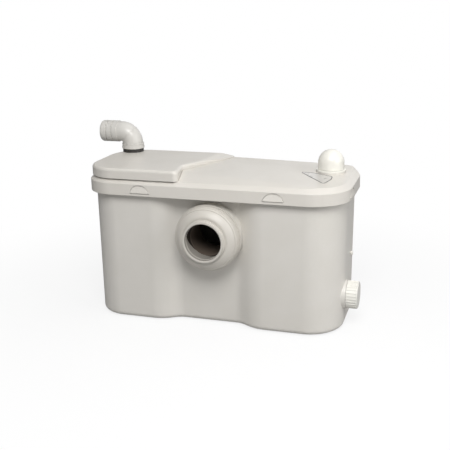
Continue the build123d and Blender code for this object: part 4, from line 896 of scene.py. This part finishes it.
@dataclass
class Surroundings:
    """Floor, light and camera."""

    lamps: tuple[Lamp, ...] = (
        Lamp("key_light", (0.36, -1.15, 1.40), (0.0, 0.0, 0.12), 0.75, 20.0),
        Lamp("side_light", (1.4, -0.45, 0.7), (0.0, 0.0, 0.12), 0.9, 7.0),
        Lamp("top_light", (0.35, 0.35, 1.9), (0.0, 0.0, 0.1), 1.4, 5.0),
    )
    floor_size: float = 30.0
    floor_paper: float = 0.45
    floor_roughness: float = 0.9
    floor_bright: float = 0.95
    floor_fade: tuple[float, float] = (0.20, 0.75)
    floor_glow: tuple[float, float] = (0.80, 1.0)
    soft_strength: float = 0.25
    wall_sides: tuple[float, float] = (-0.45, -0.15)
    wall_strengths: tuple[float, float] = (0.35, 1.0)
    camera_place: Vec = (0.381766, -1.226331, 0.536875)
    camera_right: Vec = (0.9558, 0.2940, -0.0153)
    camera_up: Vec = (-0.0695, 0.2758, 0.9588)
    camera_ahead: Vec = (-0.2861, 0.9152, -0.2840)
    lens: float = 62.42
    sensor: float = 36.0

    def build(self) -> None:
        """Adds the floor, the lamps, the world and the camera."""
        self._floor()
        self._world()
        for lamp in self.lamps:
            self._light(lamp)
        self._camera()

    def _floor(self) -> None:
        """A pale floor that is white to the camera away from the object's shadow."""
        bpy.ops.object.select_all(action="DESELECT")
        bpy.ops.mesh.primitive_plane_add(size=self.floor_size, location=(0.0, 0.0, 0.0))
        floor = bpy.context.object
        floor.name = "floor"
        made = bpy.data.materials.new("floor_paper")
        made.use_nodes = True
        nodes = made.node_tree.nodes
        links = made.node_tree.links
        paper = nodes["Principled BSDF"]
        paper.inputs["Base Color"].default_value = (self.floor_paper, self.floor_paper, self.floor_paper, 1.0)
        paper.inputs["Roughness"].default_value = self.floor_roughness
        bright = nodes.new("ShaderNodeBsdfDiffuse")
        bright.inputs["Color"].default_value = (self.floor_bright, self.floor_bright, self.floor_bright, 1.0)
        glow = nodes.new("ShaderNodeEmission")
        glow.inputs["Strength"].default_value = 1.0
        catch = nodes.new("ShaderNodeMixShader")
        links.new(bright.outputs["BSDF"], catch.inputs[1])
        links.new(glow.outputs["Emission"], catch.inputs[2])
        where = nodes.new("ShaderNodeTexCoord")
        far = nodes.new("ShaderNodeVectorMath")
        far.operation = "LENGTH"
        links.new(where.outputs["Object"], far.inputs[0])
        fade = nodes.new("ShaderNodeMapRange")
        fade.interpolation_type = "SMOOTHSTEP"
        self._set_range(fade, self.floor_fade, self.floor_glow)
        links.new(far.outputs["Value"], fade.inputs["Value"])
        links.new(fade.outputs["Result"], catch.inputs[0])
        rays = nodes.new("ShaderNodeLightPath")
        seen = nodes.new("ShaderNodeMixShader")
        links.new(rays.outputs["Is Camera Ray"], seen.inputs[0])
        links.new(paper.outputs["BSDF"], seen.inputs[1])
        links.new(catch.outputs["Shader"], seen.inputs[2])
        links.new(seen.outputs["Shader"], nodes["Material Output"].inputs["Surface"])
        floor.data.materials.append(made)

    def _world(self) -> None:
        """Soft grey light all round, white to the camera."""
        world = bpy.data.worlds.new("studio")
        world.use_nodes = True
        bpy.context.scene.world = world
        nodes = world.node_tree.nodes
        links = world.node_tree.links
        soft = nodes["Background"]
        soft.inputs["Color"].default_value = (1.0, 1.0, 1.0, 1.0)
        soft.inputs["Strength"].default_value = self.soft_strength
        white = nodes.new("ShaderNodeBackground")
        white.inputs["Color"].default_value = (1.0, 1.0, 1.0, 1.0)
        white.inputs["Strength"].default_value = 1.0
        wall = nodes.new("ShaderNodeBackground")
        wall.inputs["Color"].default_value = (1.0, 1.0, 1.0, 1.0)
        way = nodes.new("ShaderNodeTexCoord")
        aside = nodes.new("ShaderNodeSeparateXYZ")
        links.new(way.outputs["Generated"], aside.inputs["Vector"])
        rise = nodes.new("ShaderNodeMapRange")
        self._set_range(rise, self.wall_sides, self.wall_strengths)
        links.new(aside.outputs["X"], rise.inputs["Value"])
        links.new(rise.outputs["Result"], wall.inputs["Strength"])
        rays = nodes.new("ShaderNodeLightPath")
        mirrored = nodes.new("ShaderNodeMixShader")
        links.new(rays.outputs["Is Glossy Ray"], mirrored.inputs[0])
        links.new(soft.outputs["Background"], mirrored.inputs[1])
        links.new(wall.outputs["Background"], mirrored.inputs[2])
        seen = nodes.new("ShaderNodeMixShader")
        links.new(rays.outputs["Is Camera Ray"], seen.inputs[0])
        links.new(mirrored.outputs["Shader"], seen.inputs[1])
        links.new(white.outputs["Background"], seen.inputs[2])
        links.new(seen.outputs["Shader"], nodes["World Output"].inputs["Surface"])

    def _set_range(
        self, node: bpy.types.ShaderNodeMapRange, given: tuple[float, float], made: tuple[float, float]
    ) -> None:
        """Sets what a map range node turns into what.

        Args:
            node: the node.
            given: the lowest and highest value that go in.
            made: what these become.
        """
        node.inputs["From Min"].default_value, node.inputs["From Max"].default_value = given
        node.inputs["To Min"].default_value, node.inputs["To Max"].default_value = made

    def _light(self, lamp: Lamp) -> None:
        """Adds a lamp.

        Args:
            lamp: its name, place, aim, size and power.
        """
        data = bpy.data.lights.new(lamp.name, "AREA")
        data.size = lamp.size
        data.energy = lamp.power
        light = bpy.data.objects.new(lamp.name, data)
        light.location = lamp.place
        light.rotation_euler = (Vector(lamp.aim) - Vector(lamp.place)).to_track_quat("-Z", "Y").to_euler()
        bpy.context.scene.collection.objects.link(light)

    def _camera(self) -> None:
        """Adds the camera at the photograph's angle."""
        data = bpy.data.cameras.new("camera")
        data.lens = self.lens
        data.sensor_width = self.sensor
        camera = bpy.data.objects.new("camera", data)
        columns = (Vector(self.camera_right), Vector(self.camera_up), -Vector(self.camera_ahead))
        turn = Matrix(columns).transposed().to_4x4()
        camera.matrix_world = Matrix.Translation(self.camera_place) @ turn
        bpy.context.scene.collection.objects.link(camera)
        bpy.context.scene.camera = camera


def dress_nodes(workshop: Workshop) -> None:
    """Lays each CAD node's finish on it.

    Args:
        workshop: the source of materials.
    """
    for part in frame["record"]["subparts"]:
        node = frame["nodes"][part["node"]]
        slot = "basket_plastic" if part["node"] == "macerator_basket" else part["material_slot"]
        workshop.dress(node, slot)


def main() -> None:
    """Builds the scene and reports each piece."""
    logging.basicConfig(level=logging.INFO, format="%(message)s")
    bpy.context.scene.view_settings.view_transform = "Standard"
    workshop = Workshop()
    dress_nodes(workshop)
    Shells(workshop).build()
    Label(workshop).build()
    InletPaintedShadeAndRidges(workshop).build()
    ElbowMarks(workshop).build()
    Surroundings().build()
    bpy.context.view_layer.update()
    LOG.info("pieces built")


if __name__ == "__main__":
    main()
